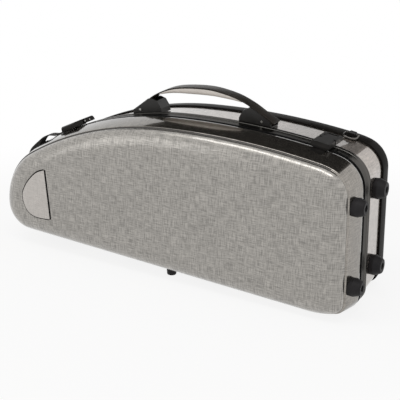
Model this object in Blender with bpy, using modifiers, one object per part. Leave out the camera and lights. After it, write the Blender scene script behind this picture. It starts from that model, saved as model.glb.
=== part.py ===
"""Alto saxophone case: two moulded shells hinged along the long bottom edge, handle on top.

Frame: +X runs along the case to its wide end, +Y to its back, +Z up. The origin is on the
ground, under the middle of the case's box. The case stands on its belly and two bottom studs.
"""
import functools
import math

import bmesh
import bpy
from mathutils import Matrix, Vector

# Driving dimensions: the side outline of the case, in metres and degrees of heading
TOP_CORNER_R = 0.050
TOP_TURN_R = 0.133
CREST_R = 1.186
SHOULDER_R = 0.550
NOSE_TOP_R = 0.114
NOSE_LOW_R = 0.052
HEEL_R = 0.148
BOTTOM_CORNER_R = 0.023
CORNER_FLOOR_R = 0.018
END_LEAN = 2.2
BOTTOM_SLOPE = 2.2
TURN_START = 162.2
CREST_START = 171.5
CREST_MID = 183.6
SHOULDER_END = 212.3
NOSE_LOW_START = 272.2
HEEL_END = 18.1
SIDE_STEPS = 3
BOTTOM_STEPS = 8
TOP_CORNER_STEPS = 7
TOP_TURN_STEPS = 2
CREST_STEPS = 6
SHOULDER_STEPS = 9
NOSE_STEPS = 8
HEEL_STEPS = 4
BOTTOM_CORNER_STEPS = 6
RUN_STEPS = {"top_corner": TOP_CORNER_STEPS, "top_turn": TOP_TURN_STEPS, "crest": CREST_STEPS,
             "shoulder": SHOULDER_STEPS, "nose_top": NOSE_STEPS, "nose_low": NOSE_STEPS,
             "bottom": BOTTOM_STEPS, "heel": HEEL_STEPS, "bottom_corner": BOTTOM_CORNER_STEPS,
             "side": SIDE_STEPS}

# Places along the case below are measured from a datum this far from the wide end
DATUM_FROM_END = 0.2723

# Driving dimensions: depths, measured from the seam between the two shells
FRONT_WALL_DEPTH = 0.0375
FRONT_DRAFT = 0.0066
FRONT_RIM_RUN = 0.002
CREASE_STEP = 0.0012
FRONT_FILLET_IN = 0.030
FRONT_FILLET_RISE = 0.0157
RIM_BAND_DEPTH = 0.0323
REAR_WALL_DEPTH = 0.097
REAR_DRAFT = 0.0031
WALL_TAPER = 0.007
BUMPER_RUN = 0.023
BUMPER_RUN_TAPER = 0.0083
BUMPER_LEAN = 0.0006
REAR_FILLET_IN = 0.020
REAR_FILLET_RISE = 0.0143
REAR_FILLET_TAPER = 0.005
BUMPER_LAND = 0.0042
FILLET_STEPS = 4

# Sheet, band and seal thicknesses, and the gap left between pieces
SHELL_WALL = 0.0020
GAP = 0.0003
RIM_BAND_WALL = 0.0023
RIM_GROOVE = 0.0007
RIM_GROOVE_Y = (0.0120, 0.0250)
SEAL_DEPTH = 0.0044
SEAL_INSET = 0.0006
SEAL_WIDTH = 0.0038
BUMPER_WALL = 0.0022

# Padding inside the shells
PAD_CLEAR = 0.0004
PAD_BACK_FROM_SEAM = 0.0030
BODY_WELL_START = (-0.265, 0.108)
BODY_WELL_END = (0.185, 0.075)
BODY_WELL_R = (0.040, 0.050)
BODY_WELL_DEPTH = 0.078
BELL_WELL_START = (0.185, 0.085)
BELL_WELL_END = (0.070, 0.168)
BELL_WELL_R = (0.052, 0.0625)
BELL_WELL_DEPTH = 0.092
POCKET_CENTRE = (-0.115, 0.196)
POCKET_SIZE = (0.120, 0.050)
POCKET_R = 0.015
POCKET_DEPTH = 0.055
POCKET_TILT = 8.0
LID_WELL_INSET = 0.034
LID_WELL_DEPTH = 0.034
WELL_ARC_STEPS = 10
POCKET_STEPS = 4

# Feet on the wide end, with their screws, and the studs under the bottom edge
FOOT_FROM_CORNER = (0.0255, 0.1480)
FRONT_FOOT_Y = -0.0235
REAR_FOOT_Y = 0.066
FOOT_REACH = 0.0130
FRONT_FOOT_R = 0.0137
REAR_FOOT_R = 0.0155
FOOT_TIP_SHARE = 0.70
FOOT_BASE_SHARES = (0.0, 0.35, 0.55, 0.75, 0.9, 1.0)
FOOT_BULGE_SHARE = 1.03
FOOT_BULGE_AT_SHARE = 0.35
FOOT_EDGE = 0.0015
FOOT_RECESS_R = 0.0052
FOOT_RECESS_DEPTH = 0.0060
FOOT_BORE_R = 0.0022
SCREW_HEAD_R = 0.0043
SCREW_HEAD_H = 0.0022
SCREW_SHANK_R = 0.0019
SCREW_EDGE_SHARE = 0.6
FOOT_STEPS = 16
SCREW_STEPS = 12
STUD_FROM_HEEL = 0.2390
STUD_FRONT_Y = -0.020
STUD_REAR_Y = 0.050
STUD_R = 0.0085
STUD_TIP_R = 0.0060
STUD_STEPS = 18

# Hinges along the bottom edge
HINGE_FROM_HEEL = (0.170, 0.310, 0.455)
HINGE_WIDTH = 0.050
HINGE_SIDE_GAP = 0.0004
HINGE_AXIS_Y = 0.0025
HINGE_DROP = 0.0028
KNUCKLE_R = 0.0024
HINGE_PIN_R = 0.0011
LEAF_WALL = 0.0015
LEAF_REACH = 0.022
HINGE_STEPS = 12
NECK_SHARE = 0.3

# Handle, its two brackets and their pins
HANDLE_Y = 0.0463
HANDLE_X = -0.0178
HANDLE_WIDTH = 0.0225
STRAP_WALL = 0.0020
STRAP_END_DEPTH = 0.0125
PIN_HALF_SPAN = 0.1064
PIN_HEIGHT = 0.0050
ARCH_RISE = 0.0422
# Each pair: place along half the pin span, height above the pins in shares of the rise
ARCH_SHARES = [(-1.16, -0.06), (-1.0, 0.17), (-0.912, 0.35), (-0.794, 0.575), (-0.60, 0.815),
               (-0.41, 0.945), (-0.144, 1.01), (0.10, 1.01), (0.30, 0.946), (0.556, 0.785),
               (0.792, 0.524), (1.0, 0.21), (1.172, -0.02)]
# Each pair: place along half the pin span, share of the way from strap to end depth
STRAP_END_SHARES = [(0.0, 0.0), (0.78, 0.0), (0.88, 0.35), (1.0, 0.95), (1.12, 0.45), (1.172, 0.15)]
ARCH_STEPS = 4
GRIP_SPAN_SHARES = (-0.70, 0.66)
GRIP_DEPTH = 0.0098
GRIP_EDGE = 0.0010
GRIP_SIDE_INSET = 0.0004
GRIP_STEPS = 14
GRIP_POWER = 0.7
GRIP_ROUND_SHARE = 0.35
BRACKET_LENGTH = 0.0535
BRACKET_INNER_END = 0.068
BRACKET_HEIGHT = 0.0248
BRACKET_WALL = 0.0020
BRACKET_SIDE_CLEAR = 0.0005
# Each pair: share of the bracket's length from its inner end, share of its height
BRACKET_SHARES = [(0.0, 0.0), (0.0, 0.32), (0.10, 0.80), (0.26, 0.98), (0.40, 1.0),
                  (0.97, 0.36), (1.0, 0.28), (1.0, 0.0)]
PIN_R = 0.0015
PIN_CLEAR = 0.0003
PIN_HEAD_R = 0.0021
PIN_HEAD_H = 0.0012
PIN_STEPS = 14

# Draw latches
LATCH_X = (-0.2415, 0.196)
LATCH_WIDTH = 0.027
LATCH_TOP = 0.0095
LATCH_REAR_Y = 0.0545
LATCH_NOSE_Y = -0.005
LATCH_SPLIT_Y = 0.0220
LATCH_SHEET = 0.0016
LATCH_NOSE_SHARE = 0.5
EAR_INSIDE = 0.0006
LATCH_SIDE_FOOT = 0.0016
LEVER_START_Y = 0.0260
LEVER_PIVOT_Y = 0.0285
LEVER_PIVOT_H = 0.0055
CLAW_PIN_Y = 0.0415
CLAW_PIN_H = 0.0050
TONGUE_HALF = 0.0088
TONGUE_END_Y = 0.0440
TONGUE_FOOT = 0.0032
TONGUE_DROP = 0.0002
NOTCH_HALF = 0.0092
NOTCH_END_Y = 0.0472
LATCH_BASE_HALF = 0.0112
LATCH_BASE_WALL = 0.0015
LATCH_BASE_Y = (0.0065, 0.0315)
EAR_STEPS = 12
EAR_WALL = 0.0018
LATCH_PIN_R = 0.0012
KEEPER_Y = (-0.0150, -0.0010)
KEEPER_HALF = 0.0100
KEEPER_WALL = 0.0011
CUT_OVERRUN = 0.0020

# Webbing loop at the nose, and the ring on the back edge
LOOP_FROM_LATCH = 0.0025
LOOP_LENGTH = 0.105
LOOP_LIFT = 0.0092
LOOP_INNER_SHARES = [(0.0, 0.0), (0.39, 0.0), (0.448, 0.43), (0.524, 0.77), (0.62, 0.70),
                     (0.667, 0.59), (0.762, 0.07), (0.79, 0.0), (1.0, 0.0)]
LOOP_OUTER_SHARES = [(0.0, 0.26), (0.048, 0.54), (0.19, 0.85), (0.333, 0.84), (0.39, 0.84),
                     (0.448, 0.88), (0.524, 1.0), (0.62, 0.93), (0.667, 0.82), (0.762, 0.33),
                     (0.81, 0.26), (1.0, 0.26)]
LOOP_Y = (0.0065, 0.0215)
LOOP_STEPS = 24
RING_X = 0.208
RING_FROM_EDGE = 0.0040
RING_BAR_Y = REAR_WALL_DEPTH + RING_FROM_EDGE
RING_WIDTH = 0.0205
RING_REACH = 0.0145
RING_WIRE_R = 0.0017
RING_BAR_H = -0.0008
RING_END_H = -0.0033
RING_CLIP_WIDTH = 0.010
RING_CLIP_REACH = 0.0062
RING_CLIP_WALL = 0.0011
RING_STEPS = 8
RING_CORNER_SHARE = 0.35
RING_CLIP_FOOT_H = -0.0029
EMPTY_SIZE = 0.02

LOOP_RIVET_R = 0.0030
LOOP_RIVET_H = 0.0012
LOOP_RIVET_SHARES = (0.26, 0.94)

# Merging distance for spun profiles
MERGE = 0.000001

# Badge plate, left bare
BADGE_CORNER = (-0.3020, 0.0610)
BADGE_SIZE = (0.0543, 0.0843)
# The arc's points from the top corner to the bottom one, in shares of the badge's size
BADGE_SHARES = [(0.847, 1.0), (0.534, 0.905), (0.214, 0.69), (0.03, 0.48), (0.0, 0.33),
                (0.10, 0.13), (0.29, 0.02), (0.55, -0.015), (1.0, 0.0)]
BADGE_THICK = 0.0012
BADGE_STEPS = 3


def clear_scene():
    for obj in list(bpy.data.objects):
        bpy.data.objects.remove(obj, do_unlink=True)


def make_collections():
    parts = bpy.data.collections.new("saxophone_case")
    cutters = bpy.data.collections.new("saxophone_case_cutters")
    for item in (parts, cutters):
        bpy.context.scene.collection.children.link(item)
    return parts, cutters


def make_material(name, colour, roughness, metallic):
    material = bpy.data.materials.new(name)
    material.use_nodes = True
    shader = material.node_tree.nodes["Principled BSDF"]
    shader.inputs["Base Color"].default_value = (*colour, 1.0)
    shader.inputs["Roughness"].default_value = roughness
    shader.inputs["Metallic"].default_value = metallic
    material.diffuse_color = (*colour, 1.0)
    return material


def add_object(name, mesh, look, collection, parent=None):
    """Put a mesh given in world coordinates into the scene, under its joint's empty."""
    mesh.materials.clear()
    mesh.materials.append(make_material(name, *LOOKS[look]))
    mesh.shade_smooth()
    mesh.set_sharp_from_angle(angle=math.radians(35))
    obj = bpy.data.objects.new(name, mesh)
    collection.objects.link(obj)
    if parent is not None:
        obj.parent = parent
        obj.matrix_parent_inverse = parent.matrix_world.inverted()
    return obj


LOOKS = {
    "linen": ((0.42, 0.41, 0.39), 0.35, 0.35),
    "profile": ((0.10, 0.10, 0.10), 0.35, 0.8),
    "rubber": ((0.015, 0.015, 0.017), 0.7, 0.0),
    "gloss_black": ((0.02, 0.018, 0.018), 0.25, 0.0),
    "black_metal": ((0.03, 0.03, 0.03), 0.4, 0.6),
    "steel": ((0.6, 0.6, 0.6), 0.25, 1.0),
    "grip": ((0.45, 0.42, 0.39), 0.4, 0.1),
    "webbing": ((0.02, 0.02, 0.02), 0.9, 0.0),
    "padding": ((0.03, 0.03, 0.035), 0.95, 0.0),
    "plate": ((0.55, 0.54, 0.52), 0.3, 0.6),
}


# The outline


def arc_point(centre, radius, heading):
    angle = math.radians(heading)
    return centre + radius * Vector((math.sin(angle), -math.cos(angle)))


def direction(heading):
    return Vector((math.cos(math.radians(heading)), math.sin(math.radians(heading))))


def outward(heading):
    return Vector((math.sin(math.radians(heading)), -math.cos(math.radians(heading))))


def chain_arcs():
    """Arcs from the top of the wide end round the nose to the bottom edge, then the heel."""
    upper = [("top_corner", TOP_CORNER_R, 90.0 + END_LEAN, TURN_START),
             ("top_turn", TOP_TURN_R, TURN_START, CREST_START),
             ("crest", CREST_R, CREST_START, CREST_MID),
             ("shoulder", SHOULDER_R, CREST_MID, SHOULDER_END),
             ("nose_top", NOSE_TOP_R, SHOULDER_END, NOSE_LOW_START),
             ("nose_low", NOSE_LOW_R, NOSE_LOW_START, 360.0 - BOTTOM_SLOPE)]
    lower = [("heel", HEEL_R, -BOTTOM_SLOPE, HEEL_END),
             ("bottom_corner", BOTTOM_CORNER_R, HEEL_END, 90.0 + END_LEAN)]
    return upper, lower


def lay_arcs(arcs, start):
    runs = []
    point = start
    for name, radius, first, last in arcs:
        centre = point - radius * outward(first)
        runs.append({"name": name, "centre": centre, "radius": radius,
                     "first": first, "last": last})
        point = arc_point(centre, radius, last)
    return runs, point


def foot_edge_out(from_corner):
    """How far a foot's tip stands out in X from where the leaning end begins."""
    lean = math.radians(END_LEAN)
    drop = from_corner - REAR_FOOT_R * FOOT_TIP_SHARE
    return FOOT_REACH * math.cos(lean) - drop * math.sin(lean)


def outline_runs():
    """All runs of the outline. The bottom edge and the wide end are the straights that close it."""
    upper, lower = chain_arcs()
    upper_runs, upper_end = lay_arcs(upper, Vector((0.0, 0.0)))
    _, lower_span = lay_arcs(lower, Vector((0.0, 0.0)))
    along_bottom = direction(-BOTTOM_SLOPE)
    along_side = direction(90.0 + END_LEAN)
    gap = -(upper_end + lower_span)
    crossed = along_bottom.x * along_side.y - along_bottom.y * along_side.x
    bottom_length = (gap.x * along_side.y - gap.y * along_side.x) / crossed
    side_length = (along_bottom.x * gap.y - along_bottom.y * gap.x) / crossed
    lower_runs, lower_end = lay_arcs(lower, upper_end + bottom_length * along_bottom)
    bottom = {"name": "bottom", "start": upper_end, "heading": -BOTTOM_SLOPE,
              "length": bottom_length}
    side = {"name": "side", "start": lower_end, "heading": 90.0 + END_LEAN,
            "length": side_length}
    runs = upper_runs + [bottom] + lower_runs + [side]
    lowest = arc_point(lower_runs[0]["centre"], HEEL_R, 0.0).y
    nose = upper_runs[-2]
    leftmost = nose["centre"].x - nose["radius"]
    rightmost = lower_end.x + foot_edge_out(FOOT_FROM_CORNER[0])
    shift = Vector((-(leftmost + rightmost) / 2, -lowest))
    for run in runs:
        key = "centre" if "centre" in run else "start"
        run[key] = run[key] + shift
    return {run["name"]: run for run in runs}


RUNS = outline_runs()
# Each corner, the straight and the arc that it joins, and whether the arc comes after it
CORNERS = {"top_corner": ("side", "top_turn", True), "nose_low": ("bottom", "nose_top", False),
           "bottom_corner": ("side", "heel", False)}


def inset_corner(name, inset):
    """Centre, radius and arc heading of a corner on a ring moved in by an inset.

    Its radius shrinks with the inset down to the floor, and then the corner slides instead.
    """
    straight, arc, _ = CORNERS[name]
    line, round_run, corner = RUNS[straight], RUNS[arc], RUNS[name]
    radius = corner["radius"] - inset
    centre = corner["centre"]
    if radius < CORNER_FLOOR_R:
        radius = CORNER_FLOOR_R
        out = outward(line["heading"])
        reach = round_run["radius"] - inset - radius
        off = -(inset + radius) - (round_run["centre"] - line["start"]).dot(out)
        slide = math.sqrt(reach ** 2 - off ** 2)
        spots = [round_run["centre"] + out * off + direction(line["heading"]) * slide * sign
                 for sign in (-1, 1)]
        centre = min(spots, key=lambda spot: (spot - corner["centre"]).length)
    away = centre - round_run["centre"]
    heading = math.degrees(math.atan2(away.x, -away.y))
    if heading < 0.0 and name != "bottom_corner":
        heading += 360.0
    return centre, radius, heading


@functools.lru_cache(maxsize=None)
def runs_at(inset):
    """The outline's runs moved in by an inset: (centre, radius, first, last) or (start, end)."""
    moved = {}
    for name, run in RUNS.items():
        if "centre" in run:
            moved[name] = [run["centre"], run["radius"] - inset, run["first"], run["last"]]
    ends = {"side": [None, None], "bottom": [None, None]}
    for name, (straight, arc, arc_after) in CORNERS.items():
        centre, radius, heading = inset_corner(name, inset)
        moved[name][0], moved[name][1] = centre, radius
        touch = centre + radius * outward(RUNS[straight]["heading"])
        if arc_after:
            moved[name][3] = moved[arc][2] = heading
            ends[straight][1] = touch
        else:
            moved[name][2] = moved[arc][3] = heading
            ends[straight][0] = touch
    heel = moved["heel"]
    ends["bottom"][1] = arc_point(heel[0], heel[1], heel[2])
    moved.update(ends)
    return moved


STATIONS = [(name, step / RUN_STEPS[name]) for name in RUNS for step in range(RUN_STEPS[name])]


def ring_spot(station, inset):
    """The point of one station of the outline, moved in by an inset."""
    name, share = STATIONS[station]
    run = runs_at(inset)[name]
    if len(run) == 2:
        return run[0].lerp(run[1], share)
    centre, radius, first, last = run
    return arc_point(centre, radius, first + (last - first) * share)


WIDE_X = RUNS["bottom_corner"]["centre"].x + BOTTOM_CORNER_R
NOSE_X = RUNS["nose_top"]["centre"].x - NOSE_TOP_R
DATUM_X = WIDE_X - DATUM_FROM_END
FRONT_DEPTH = FRONT_WALL_DEPTH + CREASE_STEP + FRONT_FILLET_RISE
BACK_DEPTH = REAR_WALL_DEPTH + BUMPER_RUN + REAR_FILLET_RISE
BUMPER_DEPTH = BACK_DEPTH + GAP + BUMPER_WALL
BACK_INSET = RIM_BAND_WALL + GAP + REAR_DRAFT + BUMPER_LEAN + REAR_FILLET_IN
BACK_TAPER = WALL_TAPER + BUMPER_RUN_TAPER + REAR_FILLET_TAPER
BACK_LOSS = BACK_TAPER * BACK_INSET / (WIDE_X - NOSE_X)
SEAM_Y = (FRONT_DEPTH + GAP + BADGE_THICK - BUMPER_DEPTH + BACK_LOSS) / 2


# Rings, paths and meshes


def outline_loop(inset):
    """Points round the outline, moved in by an inset."""
    return [ring_spot(station, inset) for station in range(len(STATIONS))]


def nose_share(x):
    return (WIDE_X - x) / (WIDE_X - NOSE_X)


def front_inset(depth):
    """How far the front shell's wall has moved in at a depth in front of the seam."""
    share = (depth - FRONT_RIM_RUN) / (FRONT_WALL_DEPTH - FRONT_RIM_RUN)
    return FRONT_DRAFT * max(0.0, min(1.0, share))


def rear_inset(depth):
    """How far the rear shell's wall has moved in at a depth behind the seam."""
    share = (depth - SEAL_DEPTH) / (REAR_WALL_DEPTH - SEAL_DEPTH)
    return RIM_BAND_WALL + GAP + REAR_DRAFT * max(0.0, min(1.0, share))


def fillet(inset, depth, across, rise, taper, taper_rise):
    """A quarter ellipse from a wall onto a face, as (inset, depth, loss of depth at the nose)."""
    points = []
    for step in range(1, FILLET_STEPS + 1):
        angle = math.pi / 2 * step / FILLET_STEPS
        points.append((inset + across * (1 - math.cos(angle)), depth + rise * math.sin(angle),
                       taper + taper_rise * math.sin(angle)))
    return points


def front_path():
    """The front shell's outside from its rim to its face."""
    crease = FRONT_WALL_DEPTH + CREASE_STEP
    path = [(0.0, GAP / 2, 0.0), (0.0, FRONT_RIM_RUN, 0.0), (FRONT_DRAFT, FRONT_WALL_DEPTH, 0.0),
            (FRONT_DRAFT + CREASE_STEP * 2, crease, 0.0)]
    return path + fillet(FRONT_DRAFT + CREASE_STEP * 2, crease, FRONT_FILLET_IN,
                         FRONT_FILLET_RISE, 0.0, 0.0)


def rear_path():
    """The rear shell's outside from its rim to its back, which tapers towards the nose."""
    start = SEAL_DEPTH + GAP * 3 / 2
    edge = rear_inset(REAR_WALL_DEPTH)
    run = REAR_WALL_DEPTH + BUMPER_RUN
    taper = WALL_TAPER + BUMPER_RUN_TAPER
    path = [(rear_inset(start), start, 0.0),
            (rear_inset(RIM_BAND_DEPTH), RIM_BAND_DEPTH, 0.0),
            (edge, REAR_WALL_DEPTH, WALL_TAPER),
            (edge + BUMPER_LEAN, run, taper)]
    return path + fillet(edge + BUMPER_LEAN, run, REAR_FILLET_IN, REAR_FILLET_RISE, taper,
                         REAR_FILLET_TAPER)


def path_stations(path):
    """The path as it stands at every point of the outline: lists of (inset, depth)."""
    columns = [outline_loop(inset) for inset, _, _ in path]
    stations = []
    for index in range(len(columns[0])):
        station = []
        for (inset, depth, taper), column in zip(path, columns):
            station.append(Vector((inset, depth - taper * nose_share(column[index].x))))
        stations.append(station)
    return stations


def offset_path(points, distance):
    """Move a path out from the case by a distance, keeping its corners square."""
    normals = []
    for first, second in zip(points, points[1:]):
        along = (second - first).normalized()
        normals.append(Vector((-along.y, along.x)))
    moved = []
    for index, point in enumerate(points):
        before = normals[max(index - 1, 0)]
        after = normals[min(index, len(normals) - 1)]
        middle = (before + after).normalized()
        moved.append(point + middle * distance / middle.dot(after))
    return moved


def rings_from_stations(stations, side):
    """Turn the stations' (inset, depth) points into rings of world points. Side is -1 or 1."""
    rings = []
    for level in range(len(stations[0])):
        ring = []
        for number, station in enumerate(stations):
            inset, depth = station[level]
            spot = ring_spot(number, inset)
            ring.append(Vector((spot.x, SEAM_Y + side * depth, spot.y)))
        rings.append(ring)
    return rings


def mesh_from_rings(name, rings, cyclic=False, caps=(True, True)):
    """Loft equal rings into one surface; cyclic joins the last ring to the first."""
    shape = bmesh.new()
    verts = [[shape.verts.new(point) for point in ring] for ring in rings]
    pairs = list(zip(verts, verts[1:]))
    if cyclic:
        pairs.append((verts[-1], verts[0]))
    count = len(rings[0])
    for lower, upper in pairs:
        for index in range(count):
            after = (index + 1) % count
            shape.faces.new((lower[index], lower[after], upper[after], upper[index]))
    if not cyclic and caps[0]:
        shape.faces.new(list(reversed(verts[0])))
    if not cyclic and caps[1]:
        shape.faces.new(verts[-1])
    return finish_mesh(name, shape)


def prism(name, polygon, low, high, place):
    """Extrude a polygon of (a, b) pairs from low to high; place maps (a, b, level) to a point."""
    shape = bmesh.new()
    base = shape.faces.new([shape.verts.new(place(a, b, low)) for a, b in polygon])
    made = bmesh.ops.extrude_face_region(shape, geom=[base], use_keep_orig=True)
    top = [item for item in made["geom"] if isinstance(item, bmesh.types.BMVert)]
    origin = place(*polygon[0], low)
    bmesh.ops.translate(shape, verts=top, vec=place(*polygon[0], high) - origin)
    return finish_mesh(name, shape)


def finish_mesh(name, shape):
    shape.normal_update()
    bmesh.ops.recalc_face_normals(shape, faces=shape.faces)
    mesh = bpy.data.meshes.new(name)
    shape.to_mesh(mesh)
    shape.free()
    return mesh


def hull_mesh(name, points):
    """The convex solid round a set of points."""
    shape = bmesh.new()
    made = bmesh.ops.convex_hull(shape, input=[shape.verts.new(point) for point in points])
    loose = set(made["geom_interior"]) | set(made["geom_unused"])
    bmesh.ops.delete(shape, geom=[item for item in loose if isinstance(item, bmesh.types.BMVert)],
                     context="VERTS")
    return finish_mesh(name, shape)


def turned(name, profile, steps, place):
    """Spin a profile of (radius, height) pairs; place maps a local point to the world."""
    shape = bmesh.new()
    points = [shape.verts.new(Vector((radius, 0.0, height))) for radius, height in profile]
    edges = [shape.edges.new(pair) for pair in zip(points, points[1:])]
    bmesh.ops.spin(shape, geom=points + edges, cent=Vector(), axis=Vector((0.0, 0.0, 1.0)),
                   angle=math.tau, steps=steps)
    bmesh.ops.remove_doubles(shape, verts=shape.verts, dist=MERGE)
    for vert in shape.verts:
        vert.co = place(vert.co)
    return finish_mesh(name, shape)


def add_boolean(obj, name, mesh, operation, cutters):
    """Cut or join a helper mesh to an object with a modifier."""
    helper = bpy.data.objects.new(name, mesh)
    cutters.objects.link(helper)
    helper.hide_render = True
    helper.display_type = "WIRE"
    modifier = obj.modifiers.new(name, "BOOLEAN")
    modifier.operation = operation
    modifier.solver = "EXACT"
    modifier.object = helper
    return helper


def circle(radius, steps, centre=(0.0, 0.0)):
    turn = math.tau / steps
    return [(centre[0] + radius * math.cos(turn * k), centre[1] + radius * math.sin(turn * k))
            for k in range(steps)]


def rectangle(low_a, high_a, low_b, high_b):
    return [(low_a, low_b), (high_a, low_b), (high_a, high_b), (low_a, high_b)]


class Seat:
    """A spot on the outline: s runs along the surface, y is depth, h stands out from it."""

    def __init__(self, foot, heading):
        along = direction(heading + 180.0)
        out = outward(heading)
        self.matrix = Matrix(((along.x, 0.0, out.x, foot.x), (0.0, 1.0, 0.0, SEAM_Y),
                              (along.y, 0.0, out.y, foot.y), (0.0, 0.0, 0.0, 1.0)))

    def point(self, s, y, h):
        return self.matrix @ Vector((s, y, h))


def top_seat(x):
    """The seat on the top of the outline at a place measured from the datum."""
    world = DATUM_X + x
    run = RUNS["crest"]
    if world < arc_point(run["centre"], run["radius"], run["last"]).x:
        run = RUNS["shoulder"]
    heading = 180.0 - math.degrees(math.asin((world - run["centre"].x) / run["radius"]))
    return Seat(arc_point(run["centre"], run["radius"], heading), heading)


def bottom_seat(from_heel):
    """The seat on the straight bottom edge, at a distance from where the heel begins."""
    run = RUNS["bottom"]
    foot = run["start"] + direction(run["heading"]) * (run["length"] - from_heel)
    return Seat(foot, run["heading"])


def end_seat(from_corner):
    """The seat on the straight wide end, at a distance up from the bottom corner."""
    run = RUNS["side"]
    return Seat(run["start"] + direction(run["heading"]) * from_corner, run["heading"])


# Shells, bands and padding


def build_shell(name, path, side, parts, parent=None):
    rings = rings_from_stations(path_stations(path), side)
    mesh = mesh_from_rings(name, rings, caps=(False, True))
    face = mesh.polygons[len(mesh.polygons) - 1]
    if face.normal.y * side < 0:
        mesh.flip_normals()
    obj = add_object(name, mesh, "linen", parts, parent)
    wall = obj.modifiers.new("wall", "SOLIDIFY")
    wall.thickness = SHELL_WALL
    wall.offset = -1.0
    wall.use_even_offset = True
    return obj


def build_band(name, stations, look, parts):
    """A ring round the case with a closed profile."""
    rings = rings_from_stations(stations, 1)
    return add_object(name, mesh_from_rings(name, rings, cyclic=True), look, parts)


def build_seal(parts):
    low = GAP / 2
    high = GAP / 2 + SEAL_DEPTH
    profile = [Vector(pair) for pair in rectangle(SEAL_INSET, SEAL_INSET + SEAL_WIDTH, low, high)]
    return build_band("rim_seal", [profile] * len(STATIONS), "rubber", parts)


def build_rim_band(parts):
    start = SEAL_DEPTH + GAP * 3 / 2
    low, high = RIM_GROOVE_Y
    profile = [Vector((0.0, start)), Vector((0.0, low)), Vector((RIM_GROOVE, low + RIM_GROOVE)),
               Vector((RIM_GROOVE, high - RIM_GROOVE)), Vector((0.0, high)),
               Vector((0.0, RIM_BAND_DEPTH - RIM_GROOVE)), Vector((RIM_GROOVE, RIM_BAND_DEPTH)),
               Vector((rear_inset(RIM_BAND_DEPTH) - GAP, RIM_BAND_DEPTH)),
               Vector((rear_inset(start) - GAP, start))]
    return build_band("rim_band", [profile] * len(STATIONS), "profile", parts)


def build_bumper(parts):
    """The black edge round the back, offset from the rear shell it wraps."""
    path = rear_path()
    edge = (path[-1][0] + BUMPER_LAND, path[-1][1], path[-1][2])
    stations = []
    for station in path_stations(path[2:] + [edge]):
        inner = offset_path(station, GAP)
        outer = offset_path(station, GAP + BUMPER_WALL)
        stations.append(inner + list(reversed(outer)))
    return build_band("rear_bumper", stations, "gloss_black", parts)


def pad_stations(path):
    """The inside of a shell's path, moved in to clear the padding, and cut back at the seam."""
    stations = []
    for station in path_stations(path):
        inner = offset_path(station, -(SHELL_WALL + PAD_CLEAR))
        deep = [point for point in inner if point.y > PAD_BACK_FROM_SEAM]
        stations.append([Vector((inner[1].x, PAD_BACK_FROM_SEAM))] + deep)
    return stations


def depth_place(depth_sign):
    return lambda a, b, level: Vector((DATUM_X + a, SEAM_Y + depth_sign * level, b))


def stadium(start, end, radii):
    """Two circles and the straight lines that touch them both."""
    gap = Vector(end) - Vector(start)
    lean = math.acos((radii[0] - radii[1]) / gap.length)
    heading = math.atan2(gap.y, gap.x)
    points = []
    for centre, radius, first, last in ((start, radii[0], heading + lean, heading + math.tau - lean),
                                        (end, radii[1], heading - lean, heading + lean)):
        for step in range(WELL_ARC_STEPS + 1):
            angle = first + (last - first) * step / WELL_ARC_STEPS
            points.append((centre[0] + radius * math.cos(angle),
                           centre[1] + radius * math.sin(angle)))
    return points


def rounded_rectangle(centre, size, radius, tilt):
    points = []
    turn = Matrix.Rotation(math.radians(tilt), 2)
    for quarter, (across, up) in enumerate(((1, 1), (-1, 1), (-1, -1), (1, -1))):
        corner = Vector((across * (size[0] / 2 - radius), up * (size[1] / 2 - radius)))
        for step in range(POCKET_STEPS + 1):
            angle = math.pi / 2 * (quarter + step / POCKET_STEPS)
            spot = turn @ (corner + radius * Vector((math.cos(angle), math.sin(angle))))
            points.append((centre[0] + spot.x, centre[1] + spot.y))
    return points


def build_rear_pad(parts, cutters):
    rings = rings_from_stations(pad_stations(rear_path()), 1)
    pad = add_object("rear_padding", mesh_from_rings("rear_padding", rings), "padding", parts)
    wells = (("body_well", stadium(BODY_WELL_START, BODY_WELL_END, BODY_WELL_R),
              BODY_WELL_DEPTH),
             ("bell_well", stadium(BELL_WELL_START, BELL_WELL_END, BELL_WELL_R),
              BELL_WELL_DEPTH),
             ("pocket_well", rounded_rectangle(POCKET_CENTRE, POCKET_SIZE, POCKET_R, POCKET_TILT),
              POCKET_DEPTH))
    for name, shape, depth in wells:
        mesh = prism(name, shape, PAD_BACK_FROM_SEAM - CUT_OVERRUN, depth, depth_place(1))
        add_boolean(pad, name, mesh, "DIFFERENCE", cutters)
    return pad


def build_lid_pad(parts, cutters, lid):
    rings = rings_from_stations(pad_stations(front_path()), -1)
    pad = add_object("lid_padding", mesh_from_rings("lid_padding", rings), "padding", parts, lid)
    well = [(point.x - DATUM_X, point.y) for point in outline_loop(LID_WELL_INSET)]
    mesh = prism("lid_well", well, PAD_BACK_FROM_SEAM - CUT_OVERRUN, LID_WELL_DEPTH,
                 depth_place(-1))
    add_boolean(pad, "lid_well", mesh, "DIFFERENCE", cutters)
    return pad


# Feet and studs


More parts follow.
